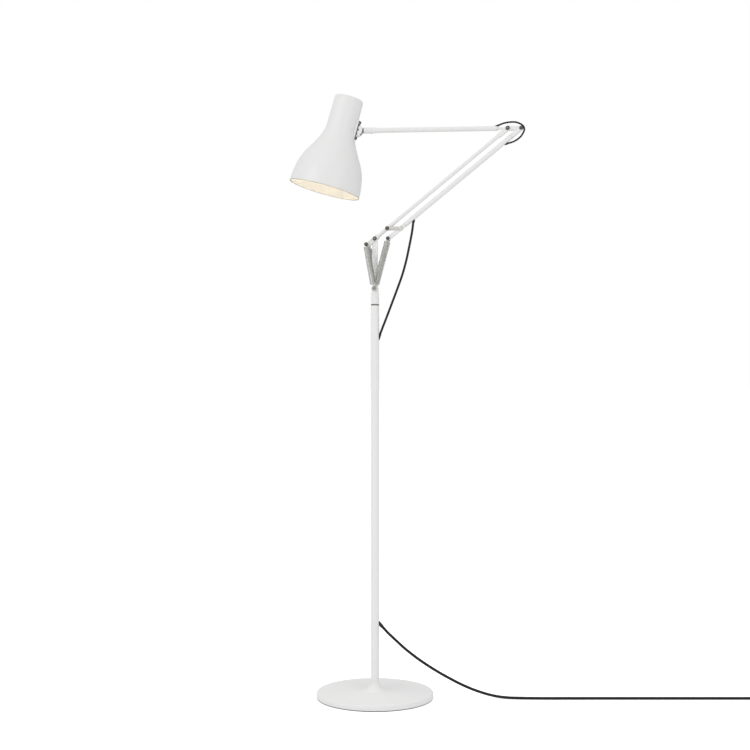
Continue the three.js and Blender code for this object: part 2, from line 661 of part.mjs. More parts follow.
function linkPlate(low, high) {
  const body = solid(plate(linkOutline(crank, link.endRadius, link.halfWidth), low, high));
  return cut(body, boreAlongY(linkPin.radius, linkOuter), boreAlongY(linkPin.radius, linkOuter, crank));
}

add(linkGroup, "link_near", linkPlate(-linkOuter, -linkInner), plateSteel);
add(linkGroup, "link_far", linkPlate(linkInner, linkOuter), plateSteel);
add(linkGroup, "link_pin_upper",
  rivetBody(linkPin.radius, rivetHalf, linkPin.headRadius, linkPin.headHeight).translate(crank, 0, 0), darkSteel);

// Upper arm, from the shade's stalk past the elbow to the end of its crank
const upperGroup = turnedGroup(lamp, ...elbow, upperAngle);
const upperBore = upper.radius - upper.wall;
const tongueEnd = tongue.root + tongue.cone;
const sleeveBore = stalk.radius + gap;
const sleeveRadius = sleeveBore + endBush.wall;
const grubAt = grub.inset - upper.length;
const armExit = { x: -upper.exit, z: upper.radius, angle: upper.exitAngle, stand: grommet.stand, cable: loopCable };

function upperTube() {
  const swageEnd = upper.swagedLength - upper.length;
  const swage = swageShares.map(([back, out]) => [
    upper.radius + (upper.swagedRadius - upper.radius) * out, swageEnd + upper.swageLength * back,
  ]);
  const counterbore = endBush.length - upper.length;
  const tube = solid(turnedAlongX([
    [upper.swagedRadius, -upper.length], ...swage, [upper.radius, -tongueEnd - gap], [upperBore, -tongueEnd - gap],
    [upperBore, counterbore], [sleeveRadius + gap, counterbore], [sleeveRadius + gap, -upper.length],
    [upper.swagedRadius, -upper.length],
  ]));
  return cut(tube, cableHole(armExit), grubHole(upper.swagedRadius));
}

const grubHole = (outer) => rodAlongZ(grub.radius + gap, -outer - overrun, 0, grubAt);

function armTongue() {
  const half = tongue.thickness / 2;
  const eye = solid(plate(strapOutline(0, tongue.halfWidth, crank, tieForkEnd), -half, half));
  const root = solid(box(-tongueEnd, 0, -half, half, -tongue.rootHalf, tongue.rootHalf));
  const cone = solid(turnedAlongX([
    [0, -tongueEnd], [upper.radius, -tongueEnd], [half, -tongue.root], [0, -tongue.root],
  ]));
  const plugPin = rodAlongX(upperBore - gap, -tongueEnd - tongue.plug, -tongue.root - tongue.cone / 2);
  const body = join(eye, root, cone, plugPin);
  return cut(body, boreAlongY(bolt.radius, half), boreAlongY(linkPin.radius, half, crank), cableHole(armExit));
}

function endBushBody() {
  const flangeHighX = -upper.length - gap;
  const flangeLowX = flangeHighX - endBush.flange;
  const body = solid(turnedAlongX([
    [sleeveBore, flangeLowX], [upper.swagedRadius - gap, flangeLowX], [upper.swagedRadius - gap, flangeHighX],
    [sleeveRadius, flangeHighX], [sleeveRadius, flangeHighX + endBush.length], [sleeveBore, flangeHighX + endBush.length],
    [sleeveBore, flangeLowX],
  ]));
  return cut(body, grubHole(sleeveRadius));
}

const grubTip = stalk.radius - stalk.groove + gap;
const upperSkin = rodAlongX(upper.radius + gap, -upper.length, 0);

add(upperGroup, "upper_tube", upperTube(), whitePaint);
add(upperGroup, "arm_tongue", armTongue(), whitePaint);
add(upperGroup, "elbow_bolt", boltBody(bolt.radius, -forkOuter - gap, forkOuter + gap + bolt.threadReach), darkSteel);
add(upperGroup, "elbow_nut", nutBody(forkOuter + gap), darkSteel);
add(upperGroup, "tie_rivet",
  rivetBody(linkPin.radius, forkOuter + gap, linkPin.headRadius, linkPin.headHeight).translate(crank, 0, 0), darkSteel);
add(upperGroup, "arm_grommet", hood(armExit, upperSkin), rubber);
add(upperGroup, "end_bush", endBushBody(), nylon);
add(upperGroup, "grub_screw", rodAlongZ(grub.radius, -grub.stand, -grubTip, grubAt), darkSteel);

// Tie rod, from the right springs past the link to the end of the crank
const tieGroup = turnedGroup(lamp, ...crankEnd, lowerAngle);
const footPivot = lower.linkReach - rodLength;
const tieLow = footPivot + tieFoot.root + fork.cone;
const tieHigh = -fork.slotDepth - fork.neck;
const dropExit = { x: tie.dropRise - rodLength, z: -tie.radius, angle: tie.dropExitAngle, stand: grommet.stand, cable };
const elbowExit = {
  x: -tie.elbowExit, z: -tie.radius, angle: tie.elbowExitAngle, stand: grommet.stand, cable: loopCable,
};

function tieFootBody() {
  const { halfThickness, halfWidth } = tieFoot;
  const outline = strapOutline(-rodLength, halfWidth, tieLow - fork.cone, halfWidth);
  const strap = solid(plate(outline, -halfThickness, halfThickness));
  const trim = solid(box(tieLow - fork.cone, tieLow + halfWidth, -halfThickness - overrun, halfThickness + overrun,
    -halfWidth - overrun, halfWidth + overrun));
  const cone = solid(turnedAlongX([
    [0, tieLow - fork.cone], [halfThickness, tieLow - fork.cone], [tie.radius, tieLow], [0, tieLow],
  ]));
  const plugPin = rodAlongX(tie.radius - tie.wall - gap, tieLow - fork.cone / 2, tieLow + tieFoot.plug);
  const springBore = boreAlongY(bolt.radius, halfThickness, -rodLength);
  const openBore = boreAlongY(linkPin.radius + openPivotGap - gap, halfThickness, footPivot);
  return cut(join(cut(strap, trim), cone, plugPin), springBore, openBore);
}

const tieForkBody = () => fromSolid(forkBody({
  inner: forkInner, thickness: fork.thickness, endRadius: tieForkEnd, slotDepth: fork.slotDepth, neck: fork.neck,
  rodRadius: tie.radius, rodWall: tie.wall, plug: fork.plug, pinRadius: linkPin.radius,
}));

const tieTube = solid(turnedAlongX(ringProfile(tie.radius - tie.wall, tie.radius, tieLow + gap, tieHigh - gap)));
const tieSkin = rodAlongX(tie.radius + gap, tieLow, tieHigh);
const springPinHalf = rightSpring.offset + wire / 2 + gap;

add(tieGroup, "tie_tube", cut(tieTube, cableHole(dropExit), cableHole(elbowExit)), whitePaint);
add(tieGroup, "tie_foot", tieFootBody(), whitePaint);
add(tieGroup, "tie_fork", tieForkBody().rotateY(Math.PI), whitePaint);
add(tieGroup, "tie_spring_pin",
  rivetBody(bolt.radius, springPinHalf, stud.headRadius, stud.headHeight).translate(-rodLength, 0, 0), darkSteel);
add(tieGroup, "tie_grommet_low", hood(dropExit, tieSkin), rubber);
add(tieGroup, "tie_grommet_high", hood(elbowExit, tieSkin), rubber);

// Stalk that rolls in the arm's end
const noseGroup = new THREE.Group();
turnedGroup(lamp, ...tiltPivot, upperAngle).add(noseGroup);
noseGroup.rotation.x = -radians(shadeRoll);

function stalkBody() {
  const reach = stalk.barrelRadius + stalk.length;
  const grooveAt = tiltReach + grubAt;
  const groove = stalk.radius - stalk.groove;
  const half = stalk.grooveWidth / 2;
  const spigot = solid(turnedAlongX([
    [0, 0], [stalk.radius, 0], [stalk.radius, grooveAt - half], [groove, grooveAt - half], [groove, grooveAt + half],
    [stalk.radius, grooveAt + half], [stalk.radius, reach], [0, reach],
  ]));
  const barrel = rodAlongY(stalk.barrelRadius, -stalk.barrelHalf, stalk.barrelHalf, 0, 0, tubeSegments);
  return cut(join(spigot, barrel), boreAlongY(tiltPinRadius, stalk.barrelHalf));
}

add(noseGroup, "nose_stalk", stalkBody(), darkSteel);

// Shade and what it carries: its X axis points out through the knuckle, its Z axis up to the shade's top
const shadeGroup = turnedGroup(noseGroup, 0, 0, -shadeTilt - upperAngle);
const shadeTop = shade.tiltDrop;
const shadeMouth = shadeTop - shade.length;

// Outer line of the shade from its mouth up to its top
function shadeOutline() {
  const flareLength = shade.length - shade.neckLength;
  const flare = shadeFlareShares.map(([down, out]) => [
    shade.neckRadius + (shade.mouthRadius - shade.neckRadius) * out, shadeTop - shade.neckLength - flareLength * down,
  ]);
  const corner = shade.neckRadius - shade.topInset - shade.topRound;
  const round = arc(corner, shadeTop - shade.topRound, shade.topRound, 0, Math.PI / 2, cornerSteps);
  return [...flare.reverse(), [shade.neckRadius, shadeTop - shade.neckLength], ...round];
}

// The same line moved in by a distance, square to itself
function movedIn(line, distance) {
  return line.map(([r, z], i) => {
    const [r0, z0] = line[Math.max(i - 1, 0)];
    const [r1, z1] = line[Math.min(i + 1, line.length - 1)];
    const span = Math.hypot(r1 - r0, z1 - z0);
    return [r - (distance * (z1 - z0)) / span, z + (distance * (r1 - r0)) / span];
  });
}

const atShade = (geometry) => geometry.translate(-shade.tiltOut, 0, 0);
const screwHeights = [padScrew.spacing / 2, -padScrew.spacing / 2];
const screwBoreProfile = rodProfile(padScrew.radius + gap, -shade.neckRadius, knuckle.radius);
const screwBore = (height) => solid(turnedAlongX(screwBoreProfile, pinSegments).translate(0, 0, height));
const windowHalf = stalk.barrelHalf + gap;
const window = () => solid(box(-shade.neckRadius, knuckle.radius, -windowHalf, windowHalf,
  -knuckle.windowHalfHeight, knuckle.windowHalfHeight));

function shadeShell() {
  const hole = button.radius + gap;
  const outer = shadeOutline();
  const inner = movedIn(outer, shade.wall);
  inner[0][1] = shadeMouth;
  inner[inner.length - 1] = [outer.at(-1)[0], shadeTop - shade.wall];
  const under = inner.reverse();
  const shell = turned([...outer, [hole, shadeTop], [hole, shadeTop - shade.wall], ...under, outer[0]]);
  return cut(solid(atShade(shell)), window(), ...screwHeights.map(screwBore));
}

const drumAt = shade.neckRadius - shade.tiltOut;
const padFace = drumAt + knuckle.padStand;
const housingFace = padFace + gap;

function knucklePad() {
  const skin = shadeOutline().map(([r, z]) => [r + gap, z]);
  const neck = solid(atShade(turned([[0, shadeMouth], ...skin, [0, shadeTop]])));
  const outline = roundedOutline(-knuckle.padHalfWidth, knuckle.padHalfWidth, -knuckle.padHalfLength,
    knuckle.padHalfLength, knuckle.padCorner);
  const slab = plate(outline, -shade.neckRadius, padFace).rotateZ(-Math.PI / 2);
  const pinBore = boreAlongY(tiltPinRadius, knuckle.halfWidth);
  return cut(solid(slab), neck, behindNeck(), window(), pinBore, ...screwHeights.map(screwBore));
}

// What lies behind the shade's axis, so that only the side towards the arm is kept
const behindNeck = () => solid(box(-shade.neckRadius - shade.tiltOut, drumAt - knuckle.padDepth, -shade.neckRadius,
  shade.neckRadius, -shade.neckRadius, shade.neckRadius));

function knuckleHousing() {
  const { radius, halfWidth, wall } = knuckle;
  const drum = rodAlongY(radius, -halfWidth, halfWidth, drumAt, 0, postSegments);
  const room = rodAlongY(radius - wall, wall - halfWidth, halfWidth - wall, drumAt, 0, postSegments);
  const behind = solid(box(drumAt - radius - overrun, housingFace, -halfWidth - overrun, halfWidth + overrun,
    -radius - overrun, radius + overrun));
  return cut(drum, room, behind, stalkSlot(), boreAlongY(tiltPinRadius, halfWidth));
}

// Slot that the stalk sweeps as the shade tilts
function stalkSlot() {
  const side = stalk.radius + gap + gap;
  const level = shadeTilt + upperAngle;
  const low = radians(level - tiltDown);
  const high = radians(level + tiltUp);
  const reach = 2 * knuckle.radius;
  const below = [side * Math.sin(low), -side * Math.cos(low)];
  const above = [-side * Math.sin(high), side * Math.cos(high)];
  const out = ([x, z], angle) => [x + reach * Math.cos(angle), z + reach * Math.sin(angle)];
  const middle = (low + high) / 2;
  const outline = [below, out(below, low), out(out([0, 0], middle), middle), out(above, high), above];
  return solid(plate(outline, -side, side));
}

function padScrewBody() {
  const head = headProfile(headShares, padFace + gap, padScrew.headRadius, padScrew.headHeight).reverse();
  const tip = padFace - padScrew.length;
  return turnedAlongX([
    [0, tip], [padScrew.radius, tip], [padScrew.radius, padFace + gap], [padScrew.headRadius, padFace + gap], ...head,
  ], pinSegments);
}

const holderHigh = shadeTop - shade.wall - gap;
const holderLow = holderHigh - holder.length;
const socketTop = holderLow + holder.socketDepth;

function lampholder() {
  const socket = holder.capRadius + gap;
  const buttonBore = button.radius + gap + gap;
  const boreLow = holderHigh - holder.boreDepth;
  return atShade(turned([
    [socket, holderLow], [holder.radius, holderLow], [holder.radius, holderHigh], [buttonBore, holderHigh],
    [buttonBore, boreLow], [0, boreLow], [0, socketTop], [socket, socketTop], [socket, holderLow],
  ], postSegments));
}

function bulbGlass() {
  const high = socketTop - gap - bulb.capLength - gap;
  const low = high - bulb.length;
  const ball = arc(0, low + bulb.radius, bulb.radius, -Math.PI / 2, radians(bulbShoulderDegrees));
  const throat = [holder.capRadius - gap, holderLow];
  return atShade(turned([[0, low], ...ball.slice(1), throat, [throat[0], high], [0, high]], tubeSegments));
}

const capHigh = socketTop - gap;
const buttonHigh = shadeTop + button.stand;

add(shadeGroup, "shade_shell", shadeShell(), whitePaint);
add(shadeGroup, "knuckle_pad", knucklePad(), whitePaint);
add(shadeGroup, "knuckle_housing", knuckleHousing(), whitePaint);
add(shadeGroup, "pad_screw_top", padScrewBody().translate(0, 0, screwHeights[0]), darkSteel);
add(shadeGroup, "pad_screw_low", padScrewBody().translate(0, 0, screwHeights[1]), darkSteel);
add(shadeGroup, "tilt_pin", rodAlongY(tiltPinRadius, -knuckle.halfWidth, knuckle.halfWidth), darkSteel);
add(shadeGroup, "lampholder", lampholder(), blackPlastic);
add(shadeGroup, "bulb_cap",
  atShade(turned(rodProfile(holder.capRadius, capHigh - bulb.capLength, capHigh), tubeSegments)), brass);
add(shadeGroup, "bulb_glass", bulbGlass(), opal);
add(shadeGroup, "switch_button", atShade(turned([
  [0, shadeTop - button.depth], [button.radius, shadeTop - button.depth], [button.radius, buttonHigh - button.round],
  [button.radius - button.round, buttonHigh], [0, buttonHigh],
], tubeSegments)), blackPlastic);

// Cables that the lamp holds, and the mains cord
add(lamp, "elbow_cable", tubeAlong(elbowRoute, loopCable.radius, elbowSteps, cableSides), blackPlastic);
add(lamp, "drop_cable", tubeAlong(dropRoute, cable.radius, dropSteps, cableSides), blackPlastic);
add(lamp, "mains_cord", tubeAlong(mainsRoute, cable.radius, mainsSteps, cableSides), blackPlastic);

// Coil of the spare cord: two layers that spiral in and out, then a straight tail to the plug
const heading = radians(cordHeading);
const forward = new THREE.Vector3(Math.cos(heading), Math.sin(heading), 0);
const leftward = new THREE.Vector3(-Math.sin(heading), Math.cos(heading), 0);
const coilOuter = coil.middle + (coil.pitch * coilTurnsPerLayer) / 2;
const coilRadius = (turns) => coilOuter - coil.pitch * (coilTurnsPerLayer - Math.abs(coilTurnsPerLayer - turns));
const coilStart = new THREE.Vector3(...mainsRoute.at(-1)).addScaledVector(forward, gap);
const coilEntry = coilStart.clone().addScaledVector(forward, 2 * cable.radius);
const coilCentre = coilEntry.clone().addScaledVector(leftward, coilOuter);

function coilPoints() {
  const points = [coilStart];
  for (let k = 0; k <= 2 * coilTurnsPerLayer * stepsPerLoop; k += 1) {
    const turns = k / stepsPerLoop;
    const angle = heading - Math.PI / 2 + 2 * Math.PI * turns;
    const climb = smoothstep(turns, coilTurnsPerLayer - climbTurns / 2, coilTurnsPerLayer + climbTurns / 2);
    const spoke = new THREE.Vector3(Math.cos(angle), Math.sin(angle), 0);
    const point = coilCentre.clone().addScaledVector(spoke, coilRadius(turns));
    points.push(point.setZ(coilStart.z + coil.lift * climb));
  }
  const leave = points.at(-1).clone().setZ(plug.thickness / 2);
  points.push(leave.clone().addScaledVector(forward, coil.tail - 2 * cable.radius));
  points.push(leave.clone().addScaledVector(forward, coil.tail));
  return points;
}

const coilLine = coilPoints();
console.log("cord_coil least gap to itself", selfGap(coilLine, cable.radius, stepsPerLoop / 2).toFixed(2));
add(lamp, "cord_coil", woundTube(coilLine, cable.radius, coilSides), blackPlastic);

// Strap round the coil's loops, a quarter turn on from where they start
function tieStrap() {
  const room = cable.radius + gap + gap;
  const near = coilRadius(coilTurnsPerLayer - tieTurns) - room;
  const far = coilRadius(tieTurns) + room;
  const low = coilStart.z - cable.radius - gap;
  const high = coilStart.z + coil.lift + cable.radius + gap;
  const half = cordTie.width / 2;
  const { wall } = cordTie;
  const outline = roundedOutline(near - wall, far + wall, low - wall, high + wall, cable.radius);
  const hollow = roundedOutline(near, far, low, high, cable.radius - wall);
  return cut(solid(plate(outline, -half, half)), solid(plate(hollow, -half - overrun, half + overrun)));
}

const strap = add(lamp, "cord_tie", tieStrap(), rubber);
strap.position.set(coilCentre.x, coilCentre.y, 0);
strap.rotation.z = heading - Math.PI / 2 + 2 * Math.PI * tieTurns;

// Two pin plug at the end of the tail
function plugBody() {
  const half = plug.width / 2;
  const noseHalf = cable.radius + plug.noseWall;
  const outline = [[0, -noseHalf], [plug.nose, -noseHalf], [plug.nose + half, -half], [plug.length, -half],
    [plug.length, half], [plug.nose + half, half], [plug.nose, noseHalf], [0, noseHalf]];
  const body = solid(plate(outline, -plug.thickness / 2, plug.thickness / 2).rotateX(Math.PI / 2));
  const pinProfile = rodProfile(plug.pinRadius, plug.length - overrun, plug.length + plug.pinLength);
  const pin = (y) => solid(turnedAlongX(pinProfile, pinSegments).translate(0, y, 0));
  return join(body, pin(plug.pinSpacing / 2), pin(-plug.pinSpacing / 2));
}

const plugMesh = add(lamp, "plug", plugBody(), blackPlastic);
plugMesh.position.copy(coilLine.at(-1).clone().addScaledVector(forward, gap));
plugMesh.rotation.z = heading;

export default lamp;
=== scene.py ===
import json
import math

import bmesh
import bpy
from mathutils import Matrix, Vector

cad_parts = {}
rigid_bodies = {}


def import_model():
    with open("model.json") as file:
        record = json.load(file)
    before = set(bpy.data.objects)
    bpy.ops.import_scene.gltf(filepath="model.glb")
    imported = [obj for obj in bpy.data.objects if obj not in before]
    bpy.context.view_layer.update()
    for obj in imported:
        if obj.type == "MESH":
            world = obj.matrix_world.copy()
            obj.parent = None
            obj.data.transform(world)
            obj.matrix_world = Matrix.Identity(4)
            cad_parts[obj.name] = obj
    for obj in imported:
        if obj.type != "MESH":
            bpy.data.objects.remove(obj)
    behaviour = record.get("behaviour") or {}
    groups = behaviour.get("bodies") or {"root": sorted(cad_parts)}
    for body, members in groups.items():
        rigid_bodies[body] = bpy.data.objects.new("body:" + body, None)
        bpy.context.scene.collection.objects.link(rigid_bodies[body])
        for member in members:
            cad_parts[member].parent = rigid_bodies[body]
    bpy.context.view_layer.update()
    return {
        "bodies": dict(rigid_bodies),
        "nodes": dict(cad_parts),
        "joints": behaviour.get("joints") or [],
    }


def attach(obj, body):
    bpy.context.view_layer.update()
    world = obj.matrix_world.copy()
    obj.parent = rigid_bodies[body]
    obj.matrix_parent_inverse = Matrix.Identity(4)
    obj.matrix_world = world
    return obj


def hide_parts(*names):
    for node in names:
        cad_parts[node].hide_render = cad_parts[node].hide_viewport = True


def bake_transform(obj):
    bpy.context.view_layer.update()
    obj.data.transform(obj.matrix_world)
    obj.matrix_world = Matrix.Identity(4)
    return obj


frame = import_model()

scene = bpy.context.scene

# Camera: level, at the height of the lamp's middle, and six and a half degrees round
# to the right of the arm's plane, as the photograph was taken.
view_turn = math.radians(6.5)
camera_distance = 3.1235
camera_height = 0.7738
camera_lens = 62.4
camera_data = bpy.data.cameras.new("camera")
camera_data.lens = camera_lens
camera_data.sensor_width = 36
camera = bpy.data.objects.new("camera", camera_data)
scene.collection.objects.link(camera)
camera.location = (
    camera_distance * math.sin(view_turn), -camera_distance * math.cos(view_turn), camera_height
)
camera.rotation_euler = (math.radians(90), 0, view_turn)
scene.camera = camera

# Mains cord: round black flex, 6.6 mm thick and 2 m long. It leaves the post low down, hangs to the
# floor and runs off to the right. The spare length is wound in a neat coil past the view's edge.
cord_radius = 0.0033
cord_spacing = 0.004
mains_route = [
    (0.0059, 0.0007, 0.182), (0.0099, 0.0011, 0.1775), (0.0139, 0.0016, 0.173),
    (0.0193, 0.0021, 0.1671), (0.0304, 0.0031, 0.155), (0.0433, 0.0042, 0.1428),
    (0.0569, 0.0053, 0.1302), (0.0705, 0.0064, 0.1178), (0.098, 0.0084, 0.0962),
    (0.1256, 0.0104, 0.0773), (0.1532, 0.0122, 0.06043), (0.1807, 0.014, 0.04535),
    (0.208, 0.0158, 0.03166), (0.2356, 0.0176, 0.02015), (0.2631, 0.0195, 0.01115),
    (0.2906, 0.0173, 0.00585), (0.3175, 0.0163, 0.00365), (0.3454, 0.0163, 0.0034),
    (0.399, 0.0199, 0.00335), (0.4686, 0.0278, 0.00335), (0.5431, 0.0363, 0.00335),
    (0.6176, 0.0448, 0.00335), (0.6971, 0.0538, 0.00335), (0.7766, 0.0629, 0.00335),
    (0.8461, 0.0708, 0.00335), (0.9008, 0.077, 0.00345), (0.9306, 0.0804, 0.00425),
    (0.939, 0.0814, 0.0045), (0.945, 0.0821, 0.00455),
]
coil_middle = 0.030
coil_pitch = 0.0071
coil_lift = 0.00705
coil_tail = 0.038
coil_turns = 2.5
coil_climb = 0.25
coil_steps = 40
join_gap = 0.0003
plug_thickness = 0.017


def smooth_line(points, spacing):
    """Points at an even spacing on a smooth curve through the given ones."""
    ends = [2 * Vector(points[0]) - Vector(points[1]), 2 * Vector(points[-1]) - Vector(points[-2])]
    knots = [ends[0], *map(Vector, points), ends[1]]
    line = []
    for p0, p1, p2, p3 in zip(knots, knots[1:], knots[2:], knots[3:]):
        t1 = math.sqrt((p1 - p0).length)
        t2 = t1 + math.sqrt((p2 - p1).length)
        t3 = t2 + math.sqrt((p3 - p2).length)
        steps = max(2, round((p2 - p1).length / spacing))
        for k in range(steps):
            t = t1 + (t2 - t1) * k / steps
            a1 = p0.lerp(p1, t / t1)
            a2 = p1.lerp(p2, (t - t1) / (t2 - t1))
            a3 = p2.lerp(p3, (t - t2) / (t3 - t2))
            b1 = a1.lerp(a2, t / t2)
            b2 = a2.lerp(a3, (t - t1) / (t3 - t1))
            line.append(b1.lerp(b2, (t - t1) / (t2 - t1)))
    return [*line, Vector(points[-1])]


def smooth_share(value, low, high):
    """A share from 0 to 1 that eases in and out between two values."""
    share = min(1, max(0, (value - low) / (high - low)))
    return share * share * (3 - 2 * share)


def coil_line(start, along):
    """The coil's centreline: in and out again in two layers, then a straight tail."""
    left = Vector((-along.y, along.x, 0))
    outer = coil_middle + coil_pitch * coil_turns / 2
    entry = start + along * 2 * cord_radius
    centre = entry + left * outer
    first = math.atan2(along.y, along.x) - math.pi / 2
    line = []
    for k in range(int(2 * coil_turns * coil_steps) + 1):
        turns = k / coil_steps
        radius = outer - coil_pitch * (coil_turns - abs(coil_turns - turns))
        climb = smooth_share(turns, coil_turns - coil_climb, coil_turns + coil_climb)
        angle = first + 2 * math.pi * turns
        spoke = Vector((math.cos(angle), math.sin(angle), 0))
        point = centre + spoke * radius
        line.append(Vector((point.x, point.y, start.z + coil_lift * climb)))
    leave = line[-1].copy()
    leave.z = plug_thickness / 2
    return [*line, leave + along * (coil_tail - 2 * cord_radius), leave + along * coil_tail], centre


def flex(name, line, radius, rounding=5):
    """A round cord along a line, as a curve with a round section."""
    curve = bpy.data.curves.new(name, "CURVE")
    curve.dimensions = "3D"
    spline = curve.splines.new("POLY")
    spline.points.add(len(line) - 1)
    for point, place in zip(spline.points, line):
        point.co = (*place, 1)
    curve.bevel_depth = radius
    curve.bevel_resolution = rounding
    curve.use_fill_caps = True
    piece = bpy.data.objects.new(name, curve)
    scene.collection.objects.link(piece)
    return piece


def set_up(tree, node, inputs):
    """Fills a shader node's inputs: an output is joined to its input, a value is written there."""
    for socket, value in inputs.items():
        if isinstance(value, bpy.types.NodeSocket):
            tree.links.new(value, node.inputs[socket])
        else:
            node.inputs[socket].default_value = value
    return node


def add_node(tree, kind, inputs, **settings):
    """A new shader node of a kind, with its settings and its inputs."""
    node = tree.nodes.new("ShaderNode" + kind)
    for key, value in settings.items():
        setattr(node, key, value)
    return set_up(tree, node, inputs)


def finish(name, colour, roughness, metallic=0.0, mottle=0.05, mottle_scale=60, grain=0.05, grain_scale=900,
           gloss_change=0.06, specular=0.5):
    """A surface with slightly uneven colour and gloss, and a fine raised grain."""
    made = bpy.data.materials.new(name)
    made.use_nodes = True
    tree = made.node_tree
    place = add_node(tree, "TexCoord", {}).outputs["Object"]
    patches = add_node(tree, "TexNoise", {"Vector": place, "Scale": mottle_scale, "Detail": 4}).outputs["Fac"]
    tint = add_node(tree, "ValToRGB", {"Fac": patches})
    for stop, at, change in zip(tint.color_ramp.elements, (0.3, 0.7), (1 - mottle, 1 + mottle)):
        stop.position = at
        stop.color = (*[min(1, c * change) for c in colour], 1)
    polish = add_node(tree, "MapRange", {
        "Value": patches, "To Min": roughness - gloss_change, "To Max": roughness + gloss_change,
    })
    fine = add_node(tree, "TexNoise", {"Vector": place, "Scale": grain_scale, "Detail": 2})
    bump = add_node(tree, "Bump", {"Height": fine.outputs["Fac"], "Strength": grain, "Distance": 0.0003})
    set_up(tree, tree.nodes["Principled BSDF"], {
        "Metallic": metallic, "Specular IOR Level": specular, "Base Color": tint.outputs["Color"],
        "Roughness": polish.outputs["Result"], "Normal": bump.outputs["Normal"],
    })
    return made


def paint_with(piece, material):
    """Gives a piece one material and no other."""
    piece.data.materials.clear()
    piece.data.materials.append(material)


def fit(piece, body, material, slot, *nodes):
    """Gives a piece its finish, fixes it to a body and lets it stand for its CAD nodes."""
    paint_with(piece, material)
    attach(piece, body)
    if nodes:
        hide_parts(*nodes)
    return piece


cord_black = finish("cord_black", (0.012, 0.012, 0.013), 0.58, mottle=0.12, mottle_scale=140, grain=0.12,
                    specular=0.3)
heading = Vector((math.cos(view_turn), math.sin(view_turn), 0))
lead = smooth_line(mains_route, cord_spacing)
wound, coil_centre = coil_line(lead[-1] + heading * join_gap, heading)
mains_cord = flex("mains_cord_flex", lead + wound, cord_radius)
fit(mains_cord, "stand", cord_black, "black_plastic", "mains_cord", "cord_coil")

# Plug: a moulded two pin plug in black plastic, drawn in at the cord, with two round brass pins.
# It lies flat on the floor at the end of the coil's tail.
plug_length = 0.036
plug_width = 0.025
plug_nose = 0.0052
pin_radius = 0.0024
pin_length = 0.019
pin_spacing = 0.019
pin_buried = 0.002
pin_tip_share = 0.6


def frame_of(origin, x_axis, y_axis):
    """Matrix of a local frame in the lamp, from its origin and two axes."""
    x, y = Vector(x_axis).normalized(), Vector(y_axis).normalized()
    z = x.cross(y)
    return Matrix((
        (x.x, y.x, z.x, origin[0]), (x.y, y.y, z.y, origin[1]), (x.z, y.z, z.z, origin[2]), (0, 0, 0, 1),
    ))


def piece_from(name, mesh_builder, place=Matrix.Identity(4), crease=35):
    """An object from a bmesh, placed in the lamp, smooth but for its sharp edges."""
    mesh_builder.transform(place)
    bmesh.ops.recalc_face_normals(mesh_builder, faces=mesh_builder.faces)
    mesh = bpy.data.meshes.new(name)
    mesh_builder.to_mesh(mesh)
    mesh_builder.free()
    mesh.shade_smooth()
    mesh.set_sharp_from_angle(angle=math.radians(crease))
    piece = bpy.data.objects.new(name, mesh)
    scene.collection.objects.link(piece)
    return piece


def skin(builder, rings, closed=False):
    """Faces between rings of points, each ring closed on itself, with ends capped."""
    rows = [[builder.verts.new(p) for p in ring] for ring in rings]
    pairs = list(zip(rows, rows[1:])) + ([(rows[-1], rows[0])] if closed else [])
    for low, high in pairs:
        count = max(len(low), len(high))
        for k in range(count):
            then = k + 1
            corners = [low[k % len(low)], low[then % len(low)], high[then % len(high)], high[k % len(high)]]
            face = list(dict.fromkeys(corners))
            if len(face) > 2:
                builder.faces.new(face)
    if not closed:
        for end in (rows[0], rows[-1]):
            if len(end) > 2:
                builder.faces.new(end)


def rounded_ring(x, half_width, half_height, squareness, count=40):
    """A ring across X, between round and square."""
    ring = []
    for k in range(count):
        angle = 2 * math.pi * k / count
        c, s = math.cos(angle), math.sin(angle)
        ring.append((x, half_width * math.copysign(abs(c) ** squareness, c),
                     half_height * math.copysign(abs(s) ** squareness, s)))
    return ring


def turn(profile, axis, at=(0, 0, 0), count=32, builder=None):
    """Mesh of a body turned about a local axis, from [radius, distance] points, or added to a given mesh."""
    if builder is None:
        builder = bmesh.new()
    rings = []
    for radius, distance in profile:
        ring = []
        for k in range(count if radius > 1e-7 else 1):
            angle = 2 * math.pi * k / count
            point = list(at)
            point[axis] += distance
            point[(axis + 1) % 3] += radius * math.cos(angle)
            point[(axis + 2) % 3] += radius * math.sin(angle)
            ring.append(point)
        rings.append(ring)
    ring_shaped = tuple(profile[0]) == tuple(profile[-1]) and profile[0][0] > 0
    skin(builder, rings[:-1] if ring_shaped else rings, closed=ring_shaped)
    return builder


X, Y, Z = 0, 1, 2
plug_start = wound[-1] + heading * join_gap
plug_body = bmesh.new()
half_width, half_height = plug_width / 2, plug_thickness / 2
plug_rings = []
for share, wide, tall, squareness in (
    (0.0, 0.0, 0.0, 1.0), (0.02, 0.08, 0.05, 1.0), (0.19, 0.1, 0.1, 0.9), (0.26, 0.2, 0.3, 0.8),
    (0.4, 0.55, 0.75, 0.65), (0.55, 0.85, 0.95, 0.55), (0.7, 0.98, 1.0, 0.5), (0.95, 1.0, 1.0, 0.5),
    (1.0, 0.93, 0.9, 0.5),
):
    plug_rings.append(rounded_ring(
        share * plug_length, plug_nose + (half_width - plug_nose) * wide,
        plug_nose + (half_height - plug_nose) * tall, squareness,
    ))
skin(plug_body, plug_rings)
plug_place = frame_of(plug_start, heading, (-heading.y, heading.x, 0))
pin_seat = plug_length - pin_buried
pin_tip = plug_length + pin_length
pin_line = [
    (0, pin_seat), (pin_radius, pin_seat), (pin_radius, pin_tip - 0.0015),
    (pin_radius * pin_tip_share, pin_tip - 0.0002), (0, pin_tip),
]
